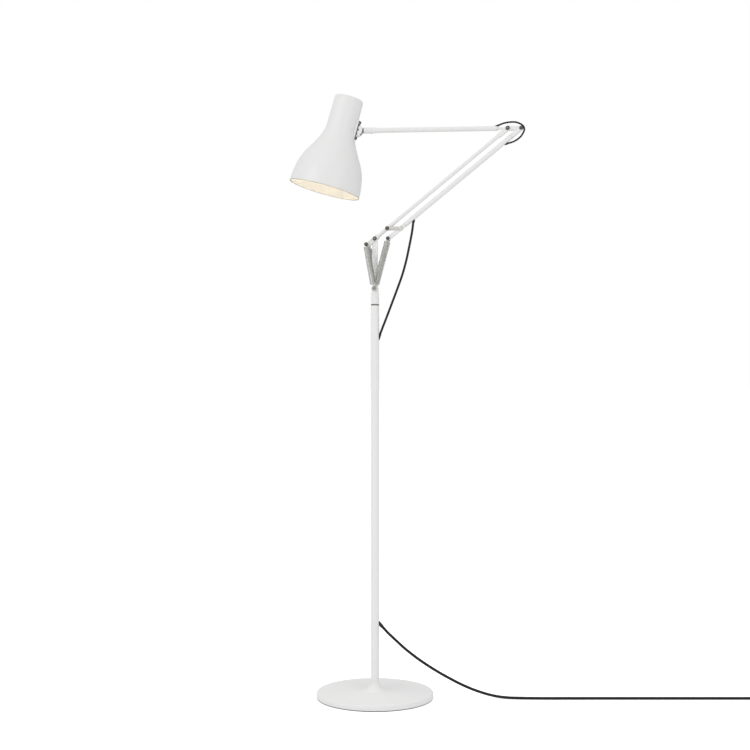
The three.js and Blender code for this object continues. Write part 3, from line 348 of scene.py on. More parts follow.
plug_pins = turn(pin_line, X, (0, -pin_spacing / 2, 0))
turn(pin_line, X, (0, pin_spacing / 2, 0), builder=plug_pins)
plug = piece_from("plug_body", plug_body, plug_place)
pins = piece_from("plug_pins", plug_pins, plug_place)
plug_black = finish("plug_black", (0.02, 0.02, 0.021), 0.4, mottle=0.08, mottle_scale=90, grain=0.15,
                    grain_scale=1400)
brass = finish("brass", (0.6, 0.44, 0.19), 0.3, 1.0, mottle=0.08, mottle_scale=300, grain=0.1)
fit(plug, "stand", plug_black, "black_plastic", "plug")
fit(pins, "stand", brass, "brass_cap")

# Coil tie: a flat strap of black rubber with rounded edges. It is laid round one side of the coil
# and holds its loops together.
strap_wall = 0.0009
strap_half_width = 0.0035
strap_turn = 0.25
strap_slack = 0.0006
strap_floor = 0.00005


def strap_ring(near, far, low, high, corner, y, steps=8):
    """A rounded outline in X and Z at one Y."""
    ring = []
    for k, (x, z) in enumerate(((far - corner, high - corner), (near + corner, high - corner),
                                (near + corner, low + corner), (far - corner, low + corner))):
        for step in range(steps + 1):
            angle = (k + step / steps) * math.pi / 2
            ring.append((x + corner * math.cos(angle), y, z + corner * math.sin(angle)))
    return ring


strap_outer = coil_middle + coil_pitch * coil_turns / 2
strap_far = strap_outer - coil_pitch * strap_turn + cord_radius + strap_slack
strap_near = strap_outer - coil_pitch * (coil_turns - strap_turn) - cord_radius - strap_slack
strap_low = mains_route[-1][2] - cord_radius - strap_slack / 2
strap_high = mains_route[-1][2] + coil_lift + cord_radius + strap_slack / 2
strap = bmesh.new()
strap_rings = []
for wall, side in ((0, -1), (0, 1), (0.7, 1), (1, 0.8), (1, -0.8), (0.7, -1)):
    grow = wall * strap_wall
    strap_rings.append(strap_ring(
        strap_near - grow, strap_far + grow, max(strap_floor, strap_low - grow), strap_high + grow,
        cord_radius, side * strap_half_width,
    ))
skin(strap, strap_rings, closed=True)
strap_angle = view_turn - math.pi / 2 + 2 * math.pi * strap_turn
strap_out = Vector((math.cos(strap_angle), math.sin(strap_angle), 0))
coil_tie = piece_from("coil_strap", strap, frame_of(
    (coil_centre.x, coil_centre.y, 0), strap_out, (-strap_out.y, strap_out.x, 0)
))
rubber_black = finish("rubber_black", (0.017, 0.017, 0.017), 0.72, mottle=0.15, mottle_scale=200, grain=0.25)
fit(coil_tie, "stand", rubber_black, "black_rubber", "cord_tie")

# Studio: a plain white floor and backdrop, an even surround that is dimmer in reflections on the right,
# and two large soft lights in front. The floor keeps its shadow and a dark line under the base.
surround = 0.9
dim_side = 0.2
dim_from, dim_to = 0.0, 0.7
floor_size = 60
floor_glow = 0.55
contact_radius, lit_radius = 0.1385, 0.1415
lamp_middle = Vector((0, 0, 0.8))
white = (1, 1, 1, 1)
world = bpy.data.worlds.new("surround")
world.use_nodes = True
scene.world = world
tree = world.node_tree
ray = add_node(tree, "LightPath", {}).outputs
seen = add_node(tree, "Math", {0: ray["Is Camera Ray"], 1: ray["Is Transmission Ray"]}, operation="MAXIMUM")
even = set_up(tree, tree.nodes["Background"], {"Color": (surround, surround, surround, 1)})
plain = add_node(tree, "Background", {"Color": white})
way = add_node(tree, "SeparateXYZ", {0: add_node(tree, "TexCoord", {}).outputs["Generated"]})
level_of = add_node(tree, "MapRange", {
    "Value": way.outputs["X"], "From Min": dim_from, "From Max": dim_to,
    "To Min": surround, "To Max": dim_side,
}, interpolation_type="SMOOTHSTEP")
shine = add_node(tree, "Background", {"Strength": level_of.outputs["Result"]})
lit = add_node(tree, "MixShader", {0: ray["Is Glossy Ray"], 1: even.outputs[0], 2: shine.outputs[0]})
mixed = add_node(tree, "MixShader", {0: seen.outputs[0], 1: lit.outputs[0], 2: plain.outputs[0]})
set_up(tree, tree.nodes["World Output"], {"Surface": mixed.outputs[0]})

floor_grid = bmesh.new()
bmesh.ops.create_grid(floor_grid, x_segments=1, y_segments=1, size=floor_size)
floor = piece_from("studio_floor", floor_grid)
floor_white = bpy.data.materials.new("floor_white")
floor_white.use_nodes = True
tree = floor_white.node_tree
matt = set_up(tree, tree.nodes["Principled BSDF"], {"Base Color": (0.82, 0.82, 0.82, 1), "Roughness": 0.9})
glow = add_node(tree, "Emission", {"Color": white, "Strength": floor_glow})
lit = add_node(tree, "AddShader", {0: matt.outputs[0], 1: glow.outputs[0]})
place = add_node(tree, "TexCoord", {}).outputs["Object"]
reach = add_node(tree, "VectorMath", {0: place}, operation="LENGTH")
clear_of_base = add_node(tree, "MapRange", {
    "Value": reach.outputs["Value"], "From Min": contact_radius, "From Max": lit_radius,
})
ray = add_node(tree, "LightPath", {}).outputs
clear = clear_of_base.outputs["Result"]
seen = add_node(tree, "Math", {0: ray["Is Camera Ray"], 1: clear}, operation="MULTIPLY")
mixed = add_node(tree, "MixShader", {0: seen.outputs[0], 1: matt.outputs[0], 2: lit.outputs[0]})
set_up(tree, tree.nodes["Material Output"], {"Surface": mixed.outputs[0]})
floor.data.materials.append(floor_white)

for name, place, size, power in (
    ("soft_light_left", (-2.6, -3.2, 3.0), 2.2, 28), ("soft_light_right", (2.8, -2.6, 2.4), 2.0, 13),
):
    light = bpy.data.lights.new(name, "AREA")
    light.shape = "SQUARE"
    light.size = size
    light.energy = power
    light_box = bpy.data.objects.new(name, light)
    scene.collection.objects.link(light_box)
    light_box.location = place
    light_box.rotation_euler = (lamp_middle - Vector(place)).to_track_quat("-Z", "Y").to_euler()
scene.view_settings.view_transform = "Standard"

# Base: a pressed steel cover, painted satin white, with a rolled edge and a flare that rises to the post.
# It hides an iron weight, which stands on a rubber pad and is bolted up into the post.
base_radius = 0.140
base_height = 0.0154
base_wall = 0.0015
base_edge = 0.0034
base_skirt = 0.0019
base_rise = 0.0009
base_lip = 0.0003
flare_radius = 0.030
flare_height = 0.025
flare_steps = 16
flare_power = 2.6
post_radius = 0.010
clearance = 0.0003


def quarter(r, z, radius, first, last, steps=6):
    """Points on an arc in a profile, between two angles in degrees."""
    angles = [math.radians(first + (last - first) * k / steps) for k in range(steps + 1)]
    return [(r + radius * math.cos(a), z + radius * math.sin(a)) for a in angles]


def base_flare(drop):
    """Profile of the flare from the cover's top up to the post, lowered by the wall for its inside."""
    hole = post_radius + clearance
    line = []
    for k in range(flare_steps + 1):
        up = k / flare_steps
        out = (flare_radius - hole) * (1 - up) ** flare_power
        line.append((hole + out, base_height + flare_height * up - drop))
    return line


def enamel(name, white, roughness, mottle_scale=9):
    """White paint, smooth and hardly mottled."""
    return finish(name, (white, white, white - 0.003), roughness, mottle=0.012, mottle_scale=mottle_scale,
                  grain=0.06, grain_scale=650, gloss_change=0.04)


edge_middle = base_radius - base_edge
edge_top = base_height - base_rise
edge_turn = edge_top - base_edge
base_inside = base_radius - base_wall
cover = turn([
    (base_inside, base_skirt), (base_radius - base_lip, base_skirt), (base_radius, base_skirt + base_lip),
    *quarter(edge_middle, edge_turn, base_edge, 0, 90, 8), *base_flare(0), *base_flare(base_wall)[::-1],
    *quarter(edge_middle, edge_turn, base_edge - base_wall, 90, 0, 5), (base_inside, base_skirt),
], Z, count=160)
white_paint = enamel("satin_white_paint", 0.82, 0.42)
fit(piece_from("base_cover_skin", cover), "stand", white_paint, "white_paint", "base_cover")

iron_grey = finish("iron_grey", (0.07, 0.07, 0.07), 0.75, 0.4, mottle=0.25, mottle_scale=150, grain=0.5,
                   grain_scale=400)
dark_steel = finish("dark_steel", (0.14, 0.133, 0.122), 0.42, 0.85, mottle=0.1, mottle_scale=260, grain=0.1)
for node, material in (("foot_pad", rubber_black), ("base_weight", iron_grey), ("base_bolt", dark_steel),
                       ("post_foot_plug", dark_steel), ("spindle_clip", dark_steel)):
    paint_with(frame["nodes"][node], material)

# Post: a 20 mm steel tube, painted like the base. The mains cord leaves it low on the right and the
# arm's cable goes in higher up, each through a hole with a tapered rubber hood.
post_wall = 0.0015
post_low = 0.0139
post_high = 0.9407
post_rim = 0.0004
outlet_height = 0.1775
outlet_angle = -48
inlet_height = 0.866
inlet_angle = 69
cable_radius = 0.00275
hood_wall = 0.0007
hood_long_stand = 0.007
hood_mains_stand = 0.012
hood_buried = 0.010
hood_taper = 0.55
hood_collar = 0.3
hood_lip = 0.0004
exit_reach = 0.012


def settle(piece, crease):
    """Makes a piece's modifiers part of its mesh, smooth but for its sharp edges."""
    made = bpy.data.meshes.new_from_object(piece.evaluated_get(bpy.context.evaluated_depsgraph_get()))
    piece.modifiers.clear()
    piece.data = made
    made.shade_smooth()
    made.set_sharp_from_angle(angle=math.radians(crease))
    return piece


def shape(piece, operation, tool, crease=35):
    """Joins, trims or cuts a piece with a closed mesh, which is used up."""
    other = piece_from("tool", tool)
    change = piece.modifiers.new("shape", "BOOLEAN")
    change.operation = operation
    change.solver = "EXACT"
    change.use_self = True
    change.object = other
    settle(piece, crease)
    bpy.data.objects.remove(other)


def cut(piece, *tools, crease=35):
    """Cuts a piece with each of the tools."""
    for tool in tools:
        shape(piece, "DIFFERENCE", tool, crease)
    return piece


def rod(place, radius, low, high, axis=X, at=(0, 0, 0), count=40):
    """A plain round bar as a cutting tool, in a local frame."""
    builder = turn([(0, low), (radius, low), (radius, high), (0, high)], axis, at, count)
    builder.transform(place)
    return builder


def slanted(place, x, z, angle):
    """Local frame whose X axis leaves a point of another frame at an angle in the arm's plane."""
    return place @ Matrix.Translation((x, 0, z)) @ Matrix.Rotation(-math.radians(angle), 4, "Y")


def exit_bore(exit_place, cable):
    """A cutting tool for the hole in one wall of a tube where a cable leaves it."""
    return rod(exit_place, cable + clearance, -exit_reach, exit_reach)


def hood(node, exit_place, cable, stand, host, body):
    """A tapered rubber hood round a cable, seated on the tube that the cable leaves."""
    inside = cable + clearance
    foot = inside + hood_wall
    tip = inside + hood_wall * hood_taper
    sleeve = turn([
        (inside, -hood_buried), (foot, -hood_buried), (foot, stand * hood_collar),
        (tip, stand - hood_lip), (tip - hood_lip / 2, stand), (inside, stand), (inside, -hood_buried),
    ], X)
    piece = cut(piece_from(node + "_hood", sleeve, exit_place), host)
    return fit(piece, body, rubber_black, "black_rubber", node)


level = Matrix.Identity(4)
cord_turn = Matrix.Rotation(view_turn, 4, "Z")
outlet_place = slanted(cord_turn, post_radius, outlet_height, outlet_angle)
inlet_place = slanted(level, post_radius, inlet_height, inlet_angle)
post_bore = post_radius - post_wall
post = turn([
    (post_bore, post_low), (post_radius, post_low), (post_radius, post_high - post_rim),
    (post_radius - post_rim, post_high), (post_bore, post_high), (post_bore, post_low),
], Z, count=48)
post_tube = piece_from("post_tube_skin", post)
cut(post_tube, exit_bore(outlet_place, cord_radius), exit_bore(inlet_place, cable_radius))
fit(post_tube, "stand", white_paint, "white_paint", "post_tube")
for node, exit_place, cable, stand in (
    ("outlet_grommet", outlet_place, cord_radius, hood_mains_stand),
    ("inlet_grommet", inlet_place, cable_radius, hood_long_stand),
):
    host = rod(level, post_radius + clearance, post_low, post_high, Z, count=48)
    hood(node, exit_place, cable, stand, host, "stand")

# Head: a white spigot that turns in a nylon bush in the top of the post. Its slotted top holds the
# flat strut between two round ears, on a long bolt that anchors the springs too.
bush_flange = 0.002
bush_length = 0.029
bush_wall = 0.0029
head_height = 0.0307
head_chamfer = 0.0012
slot_rise = 0.019
ear_radius = 0.008
ear_thickness = 0.003
clip_thickness = 0.0012
clip_groove = 0.001
spindle_tail = 0.0075
strut_width = 0.0134
strut_thickness = 0.006
anchor_height = 0.9806
bolt_radius = 0.0025
bolt_head_radius = 0.0049
bolt_head_height = 0.0036
nut_height = 0.0042
nut_top = 0.0012
thread_reach = 0.0026
socket_across = 0.003105
socket_depth = 0.0018
tip_radius = 0.0011
tip_inset = 0.0003
tip_round = 0.0005
ear_round = 0.0006
strut_round = 0.0005
overlap = 0.002
bore_reach = 0.02
cap_rim_share = 0.45
left_offset = 0.0246
wire = 0.0015


def eased(profile, reach=0.0003, steps=3):
    """The profile with each corner inside it rounded."""
    line = [tuple(profile[0])]
    for before, corner, after in zip(profile, profile[1:], profile[2:]):
        corner = Vector(corner)
        back, on = Vector(before) - corner, Vector(after) - corner
        if back.angle(on) > math.radians(160):
            line.append(tuple(corner))
            continue
        first = corner + back.normalized() * min(reach, 0.45 * back.length)
        last = corner + on.normalized() * min(reach, 0.45 * on.length)
        for k in range(steps + 1):
            share = k / steps
            line.append(tuple(first.lerp(corner, share).lerp(corner.lerp(last, share), share)))
    return [*line, tuple(profile[-1])]


def bar(radius, low, high, rounding, axis, at=(0, 0, 0), count=32, steps=3):
    """Mesh of a round bar with rounded ends."""
    return turn(eased([(0, low), (radius, low), (radius, high), (0, high)], rounding, steps), axis, at, count)


def plate(outline, low, high, edge=0.0003):
    """Mesh of a flat plate across Y with rounded edges, from an outline of [x, z] points."""
    builder = bmesh.new()
    inner = []
    for k, point in enumerate(outline):
        before, after = Vector(outline[k - 1]), Vector(outline[(k + 1) % len(outline)])
        way = (after - before).normalized()
        inner.append((point[0] - way.y * edge, point[1] + way.x * edge))
    between = [((a[0] * 0.29 + b[0] * 0.71), (a[1] * 0.29 + b[1] * 0.71)) for a, b in zip(inner, outline)]
    rings = []
    for line, y in ((inner, low), (between, low + 0.29 * edge), (outline, low + edge),
                    (outline, high - edge), (between, high - 0.29 * edge), (inner, high)):
        rings.append([(x, y, z) for x, z in line])
    skin(builder, rings)
    return builder


def arc(x, z, radius, first, last, steps=16):
    """Points on an arc, between two angles in radians."""
    turns = [first + (last - first) * k / steps for k in range(steps + 1)]
    return [(x + radius * math.cos(a), z + radius * math.sin(a)) for a in turns]


def dome(radius, height, seat, side, steps=8):
    """Profile of a domed head on a seat, from its pole to its rim, on one side."""
    line = []
    for k in range(steps + 1):
        angle = math.pi / 2 * k / steps
        rise = height * (cap_rim_share + (1 - cap_rim_share) * math.cos(angle))
        line.append((radius * math.sin(angle), seat + side * rise))
    return [*line, (radius, seat + side * 0.0002), (radius - 0.0002, seat)]


def take_in(builder, piece):
    """Adds a piece's mesh to another mesh and removes the piece."""
    builder.from_mesh(piece.data)
    bpy.data.objects.remove(piece)
    return builder


def soften(piece, width=0.00025):
    """Rounds the sharp edges that cutting leaves."""
    edges = piece.modifiers.new("edges", "BEVEL")
    edges.width = width
    edges.segments = 2
    edges.limit_method = "ANGLE"
    edges.angle_limit = math.radians(50)
    return settle(piece, 40)


def box_line(x_low, x_high, z_low, z_high):
    """Outline of a rectangle."""
    return [(x_low, z_low), (x_high, z_low), (x_high, z_high), (x_low, z_high)]


def bore(place, radius, distance=0):
    """A cutting tool for a hole across Y, some way along a local frame's X axis."""
    return rod(place, radius, -bore_reach, bore_reach, Y, (distance, 0, 0))


def fit_body(node, builder, place, body, material, slot):
    """The finished piece for one CAD node, from its mesh."""
    return fit(piece_from(node + "_body", builder, place), body, material, slot, node)


def bolt(node, place, low, high, body, material, slot, tip=None):
    """Round headed socket bolt along Y, with its head on the near side."""
    head = dome(bolt_head_radius, bolt_head_height, low, -1)
    builder = turn([*head, (bolt_radius, low), (bolt_radius, high), (0, high)], Y)
    piece = piece_from(node + "_body", builder, place)
    top = low - bolt_head_height
    bottom = top + socket_depth
    cut(piece, rod(place, socket_across / math.sqrt(3), top - overlap, bottom, Y, count=6))
    # A bright stub in the socket paints the highlight at the bolt's centre.
    if tip:
        stub = bar(tip_radius, top + tip_inset, bottom, tip_round, Y)
        fit(piece_from(node + "_body_tip", stub, place), body, tip, "plated_steel")
    return fit(piece, body, material, slot, node)


def cap_nut(node, place, start, body, material, slot):
    """Domed nut along Y on the far side, over the end of its bolt."""
    hole = bolt_radius + clearance
    depth = start + nut_height - nut_top
    cap = dome(bolt_head_radius, nut_height, start, 1)
    builder = turn([*cap, (hole, start), (hole, depth), (0, depth)], Y)
    return fit_body(node, builder, place, body, material, slot)


bush_sleeve = post_radius - post_wall - clearance
bush_bore = bush_sleeve - bush_wall
flange_low = post_high + clearance
flange_high = flange_low + bush_flange
bush_low = flange_low - bush_length
bush = turn([
    (bush_bore, bush_low), (bush_sleeve, bush_low), (bush_sleeve, flange_low), (post_radius, flange_low),
    (post_radius, flange_high), (bush_bore, flange_high), (bush_bore, bush_low),
], Z, count=48)
grey_nylon = finish("grey_nylon", (0.12, 0.115, 0.105), 0.5, mottle=0.06, mottle_scale=200, grain=0.1)
fit(piece_from("swivel_bush_ring", bush), "stand", grey_nylon, "grey_nylon", "swivel_bush")

spindle_radius = bush_bore - clearance
head_low = flange_high + clearance
head_top = head_low + head_height
slot_floor = head_low + slot_rise
clip_high = bush_low - clearance
clip_low = clip_high - clip_thickness
strut_half = strut_thickness / 2
ear_inner = strut_half + clearance
ear_outer = ear_inner + ear_thickness
groove = spindle_radius - clip_groove
shoulder = post_radius - head_chamfer
tail_end = clip_low - spindle_tail
groove_low, groove_high = clip_low - clearance, clip_high + clearance
spigot = turn(eased([
    (0, tail_end), (spindle_radius, tail_end), (spindle_radius, groove_low), (groove, groove_low),
    (groove, groove_high), (spindle_radius, groove_high), (spindle_radius, head_low), (shoulder, head_low),
    (post_radius, head_low + head_chamfer), (post_radius, head_top - head_chamfer), (shoulder, head_top),
    (0, head_top),
]), Z, count=48)
ears = plate([
    (-ear_radius, slot_floor - overlap), (ear_radius, slot_floor - overlap),
    *arc(0, anchor_height, ear_radius, 0, math.pi),
], -ear_outer, ear_outer, ear_round)
head_spigot = piece_from("head_spigot_body", spigot)
ear_piece = piece_from("ears", ears)
ear_room = rod(level, post_radius, slot_floor - 2 * overlap, anchor_height + post_radius, Z, count=48)
shape(ear_piece, "INTERSECT", ear_room)
shape(head_spigot, "UNION", take_in(bmesh.new(), ear_piece))
reach = post_radius + overlap
slot = plate(box_line(-reach, reach, slot_floor, anchor_height + reach), -ear_inner, ear_inner, 0)
anchor_place = Matrix.Translation((0, 0, anchor_height))
cut(head_spigot, slot, bore(anchor_place, bolt_radius + clearance))
fit(soften(head_spigot), "head", white_paint, "white_paint", "head_spigot")

joints = {joint["name"]: joint for joint in frame["joints"]}
arm_pivot, elbow, crank_end, link_pivot, tilt_pivot = (
    Vector(joints[name]["pos_m"])
    for name in ("lower_arm_swing", "elbow_bend", "tie_swing", "link_swing", "shade_roll")
)
strut_end = strut_width / 2
strut_low = slot_floor + clearance
strut = plate([(-strut_end, strut_low), (strut_end, strut_low), *arc(0, arm_pivot.z, strut_end, 0, math.pi)],
              -strut_half, strut_half, strut_round)
strut_bar = piece_from("strut_bar", strut)
for place in (anchor_place, Matrix.Translation((0, 0, arm_pivot.z))):
    cut(strut_bar, bore(place, bolt_radius + clearance))
# The strut's white is lighter than the same paint elsewhere: painted light that lifts the shade the springs
# cast on it.
strut_painted_light = enamel("strut_painted_light", 0.9, 0.42)
fit(strut_bar, "head", strut_painted_light, "white_paint", "strut")

plated_steel = finish("plated_steel", (0.4, 0.39, 0.37), 0.36, 0.7, mottle=0.08, mottle_scale=180, grain=0.08)
anchor_reach = left_offset + wire / 2 + 1.5 * clearance
bolt("anchor_bolt", anchor_place, -anchor_reach, anchor_reach + thread_reach, "head", plated_steel,
     "plated_steel")
cap_nut("anchor_nut", anchor_place, anchor_reach, "head", plated_steel, "plated_steel")

# Lower arm: a slim painted tube with a forked end on each side. The fork at the strut reaches back
# past its pivot bolt and carries a stud on each cheek for the left springs.
rod_length = (elbow - arm_pivot).length
crank = (crank_end - elbow).length
lower_radius = 0.0044
lower_wall = 0.0015
spring_reach = 0.024
link_reach = (link_pivot - arm_pivot).length
fork_thickness = 0.0027
fork_half_width = 0.0055
fork_slot = 0.025
fork_neck = 0.006
fork_cone = 0.004
fork_plug = 0.018
lower_fork_thickness = 0.003
lower_fork_slot = 0.0074
tongue_thickness = 0.005
link_pin_radius = 0.002
link_pin_head = 0.0048
link_pin_rise = 0.0019
link_gap = 0.0003
link_thickness = 0.0015
stud_tail = 0.0022
stud_shoulder = 0.0035
stud_head_radius = 0.0047
stud_head_height = 0.0028
stud_round = 0.0005
rivet_flat = 0.8
rivet_edge = 0.4
rivet_round = 0.0006
fork_round = 0.0007


def moved(place, distance):
    """A local frame moved along its X axis."""
    return place @ Matrix.Translation((distance, 0, 0))


def rivet(node, place, radius, half, head_radius, head_height, body, material):
    """Pin along Y with a low rounded head on each side."""
    top = half + head_height
    low = eased([
        (0, -top), (head_radius * rivet_flat, -top), (head_radius, -half - head_height * rivet_edge),
        (head_radius, -half), (radius, -half),
    ], rivet_round)
    builder = turn([*low, *[(r, -y) for r, y in reversed(low)]], Y)
    return fit_body(node, builder, place, body, material, "dark_steel")


def strap_outline(x0, r0, x1, r1):
    """Outline round two circles on the X axis, each of its own radius."""
    side = math.pi / 2 - math.asin((r0 - r1) / (x1 - x0))
    return [*arc(x1, 0, r1, -side, side), *arc(x0, 0, r0, side, 2 * math.pi - side)]


def block(x_low, x_high, half_y, half_z):
    """A plain block about the X axis, as a cutting tool."""
    return plate(box_line(x_low, x_high, -half_z, half_z), -half_y, half_y, 0)


def fork(node, place, inner, thickness, end_radius, slot_depth, rod_radius, pin_radius, tail, body):
    """Painted fork with its pivot at the origin and its rod towards X."""
    outer = inner + thickness
    half = fork_half_width
    end = slot_depth + fork_neck
    cheek_end = end - fork_cone
    cheeks = plate(strap_outline(-tail, end_radius, cheek_end - half / 2, half), -outer, outer, fork_round)
    piece = cut(
        piece_from(node + "_cheeks", cheeks), block(cheek_end, end + half, outer + half, half + overlap),
        block(-tail - end_radius - overlap, slot_depth, inner, half + overlap),
        bore(level, pin_radius + clearance),
    )
    if tail:
        cut(piece, bore(level, stud_tail + clearance, -tail))
    soften(piece, 0.0004)
    plug_radius = rod_radius - lower_wall - clearance
    cone = turn(eased([
        (0, slot_depth), (half, slot_depth), (half, cheek_end), (rod_radius, end), (plug_radius, end),
        (plug_radius, end + fork_plug), (0, end + fork_plug),
    ]), X)
    return fit_body(node, take_in(cone, piece), place, body, white_paint, "white_paint")


def tube(name, place, radius, low, high, body, node, *tools):
    """Painted tube along X, cut by any tools."""
    inside = radius - lower_wall
    builder = turn([(inside, low), (radius, low), (radius, high), (inside, high), (inside, low)], X, count=40)
    piece = cut(piece_from(name, builder, place), *tools)
    return fit(piece, body, arm_white, "arm_paint", node)


across = Vector((0, 1, 0))
lower_place = frame_of(arm_pivot, elbow - arm_pivot, across)
lower_tube_low = lower_fork_slot + fork_neck
lower_tube_high = rod_length - fork_slot - fork_neck
arm_white = enamel("arm_white_paint", 0.8, 0.4, 12)
tube("lower_rod_tube", lower_place, lower_radius, lower_tube_low, lower_tube_high, "lower_arm", "lower_rod",
     bore(lower_place, link_pin_radius + clearance, link_reach))
fork("lower_fork", lower_place, ear_inner, lower_fork_thickness, fork_half_width, lower_fork_slot,
     lower_radius, bolt_radius, spring_reach, "lower_arm")
fork_inner = tongue_thickness / 2 + clearance
fork_outer = fork_inner + fork_thickness
elbow_place = frame_of(elbow, arm_pivot - elbow, across)
fork("elbow_fork", elbow_place, fork_inner, fork_thickness, fork_half_width, fork_slot, lower_radius,
     bolt_radius, 0, "lower_arm")
seat = ear_outer + clearance
# Light zinc for the grub screw and the upper link pin, and for the bright stubs in the bolt sockets, which
# paint a highlight at each bolt's centre.
worn_zinc_and_highlight = finish("worn_zinc_and_highlight", (0.74, 0.73, 0.7), 0.4, 0.4, mottle=0.1, mottle_scale=200, grain=0.1)
bolt("pivot_bolt", lower_place, -seat, seat + thread_reach, "lower_arm", dark_steel, "dark_steel", worn_zinc_and_highlight)
cap_nut("pivot_nut", lower_place, seat, "lower_arm", dark_steel, "dark_steel")
neck_low = left_offset - wire / 2 - clearance
neck_high = left_offset + wire / 2 + clearance
stud_low = ear_inner + clearance
stud_end = neck_high + stud_head_height
for side, node in ((1, "spring_stud_far"), (-1, "spring_stud_near")):
    stud = turn(eased([
        (0, stud_low), (stud_tail, stud_low), (stud_tail, seat), (stud_shoulder, seat),
        (stud_shoulder, neck_low), (bolt_radius, neck_low), (bolt_radius, neck_high),
        (stud_head_radius, neck_high), (stud_head_radius, neck_high + stud_head_height / 2),
        (stud_head_radius / 2, stud_end), (0, stud_end),
    ], stud_round), Y)
    stud_place = moved(lower_place, -spring_reach) @ Matrix.Diagonal((1, side, 1, 1))
    fit_body(node, stud, stud_place, "lower_arm", dark_steel, "dark_steel")
pin_half = lower_radius + link_gap + link_thickness + clearance
rivet("link_pin_lower", moved(lower_place, link_reach), link_pin_radius, pin_half, link_pin_head,
      link_pin_rise, "lower_arm", dark_steel)

# Link: two stamped plates of plated steel, one on each side of the rods. Their round eyes sit on pins
# with low rounded heads.
link_half_width = 0.004
link_eye = 0.0054
upper_way = crank_end - elbow
link_place = frame_of(link_pivot, upper_way, across)
link_inner = lower_radius + link_gap
link_outer = link_inner + link_thickness
meet = math.asin(link_half_width / link_eye)
link_line = [
    *arc(crank, 0, link_eye, meet - math.pi, math.pi - meet), *arc(0, 0, link_eye, meet, 2 * math.pi - meet),
]
link_steel = finish("link_steel", (0.68, 0.67, 0.62), 0.42, 0.5, mottle=0.1, mottle_scale=160, grain=0.12)
for node, low, high in (("link_near", -link_outer, -link_inner), ("link_far", link_inner, link_outer)):
    piece = piece_from(node + "_plate", plate(link_line, low, high, 0.0002), link_place)
    for distance in (0, crank):
        cut(piece, bore(link_place, link_pin_radius + clearance, distance))
    fit(piece, "link", link_steel, "plated_steel", node)
rivet("link_pin_upper", moved(link_place, crank), link_pin_radius, pin_half, link_pin_head, link_pin_rise,
      "link", worn_zinc_and_highlight)

# Upper arm: a painted tube that swells at the shade's end, where a grey bush holds the stalk. At the
# elbow it narrows to a flat tongue, which carries the elbow bolt and reaches on as the short crank.
upper_radius = 0.00585
upper_wall = 0.0015
swaged_radius = 0.0073
swage_length = 0.043
swaged_length = 0.0059
swage_steps = 16
upper_length = 0.3439
loop_radius = 0.0021
arm_exit = 0.0245
arm_exit_angle = 26
hood_stand = 0.0036
end_bush_length = 0.026
end_bush_wall = 0.0016
end_bush_flange = 0.0012
stalk_radius = 0.0036
grub_radius = 0.002
grub_inset = 0.0184
grub_stand = 0.0082
grub_bore_reach = 0.0093
grub_socket_depth = 0.0012
grub_socket_radius = 0.0009
stalk_groove = 0.0008
tongue_half_width = 0.0062
tongue_root = 0.020
tongue_root_half = 0.0024
tongue_cone = 0.005
tongue_plug = 0.018
tie_fork_end = 0.0047

upper_place = frame_of(elbow, upper_way, across)
tongue_end = tongue_root + tongue_cone
upper_bore = upper_radius - upper_wall
sleeve_bore = stalk_radius + clearance
sleeve_radius = sleeve_bore + end_bush_wall
swage = []
for k in range(swage_steps + 1):
    down = smooth_share(k, 0, swage_steps)
    swage.append((
        swaged_radius + (upper_radius - swaged_radius) * down,
        swaged_length - upper_length + swage_length * k / swage_steps,
    ))
grub_at = grub_inset - upper_length
counterbore = end_bush_length - upper_length
arm = turn([
    (swaged_radius - 0.0003, -upper_length), (swaged_radius, 0.0003 - upper_length), *swage,
    (upper_radius, -tongue_end - clearance), (upper_bore, -tongue_end - clearance), (upper_bore, counterbore),
    (sleeve_radius + clearance, counterbore), (sleeve_radius + clearance, -upper_length),
    (swaged_radius - 0.0003, -upper_length),
], X, count=56)
upper_tube = piece_from("upper_tube_skin", arm, upper_place)
arm_exit_place = slanted(upper_place, -arm_exit, upper_radius, arm_exit_angle)


def grub_bore():
    """A cutting tool for the grub screw's hole."""
    return rod(upper_place, grub_radius + clearance, -grub_bore_reach, 0, Z, (grub_at, 0, 0))


cut(upper_tube, exit_bore(arm_exit_place, loop_radius), grub_bore())
fit(upper_tube, "upper_arm", arm_white, "arm_paint", "upper_tube")

tongue_half = tongue_thickness / 2
eye = plate(strap_outline(0, tongue_half_width, crank, tie_fork_end), -tongue_half, tongue_half, 0.0006)
eye_piece = piece_from("tongue_eye", eye)
root = plate(box_line(-tongue_end, 0, -tongue_root_half, tongue_root_half), -tongue_half, tongue_half, 0.0004)
shape(eye_piece, "UNION", root)
cut(eye_piece, bore(level, bolt_radius + clearance), bore(level, link_pin_radius + clearance, crank))
cone = turn(eased([
    (0, -tongue_end - tongue_plug), (upper_bore - clearance, -tongue_end - tongue_plug),
    (upper_bore - clearance, -tongue_end), (upper_radius, -tongue_end), (tongue_half, -tongue_root),
    (0, -tongue_root),
], 0.0008), X)
tongue = piece_from("arm_tongue_body", take_in(cone, eye_piece), upper_place)
cut(tongue, exit_bore(arm_exit_place, loop_radius))
fit(tongue, "upper_arm", white_paint, "white_paint", "arm_tongue")

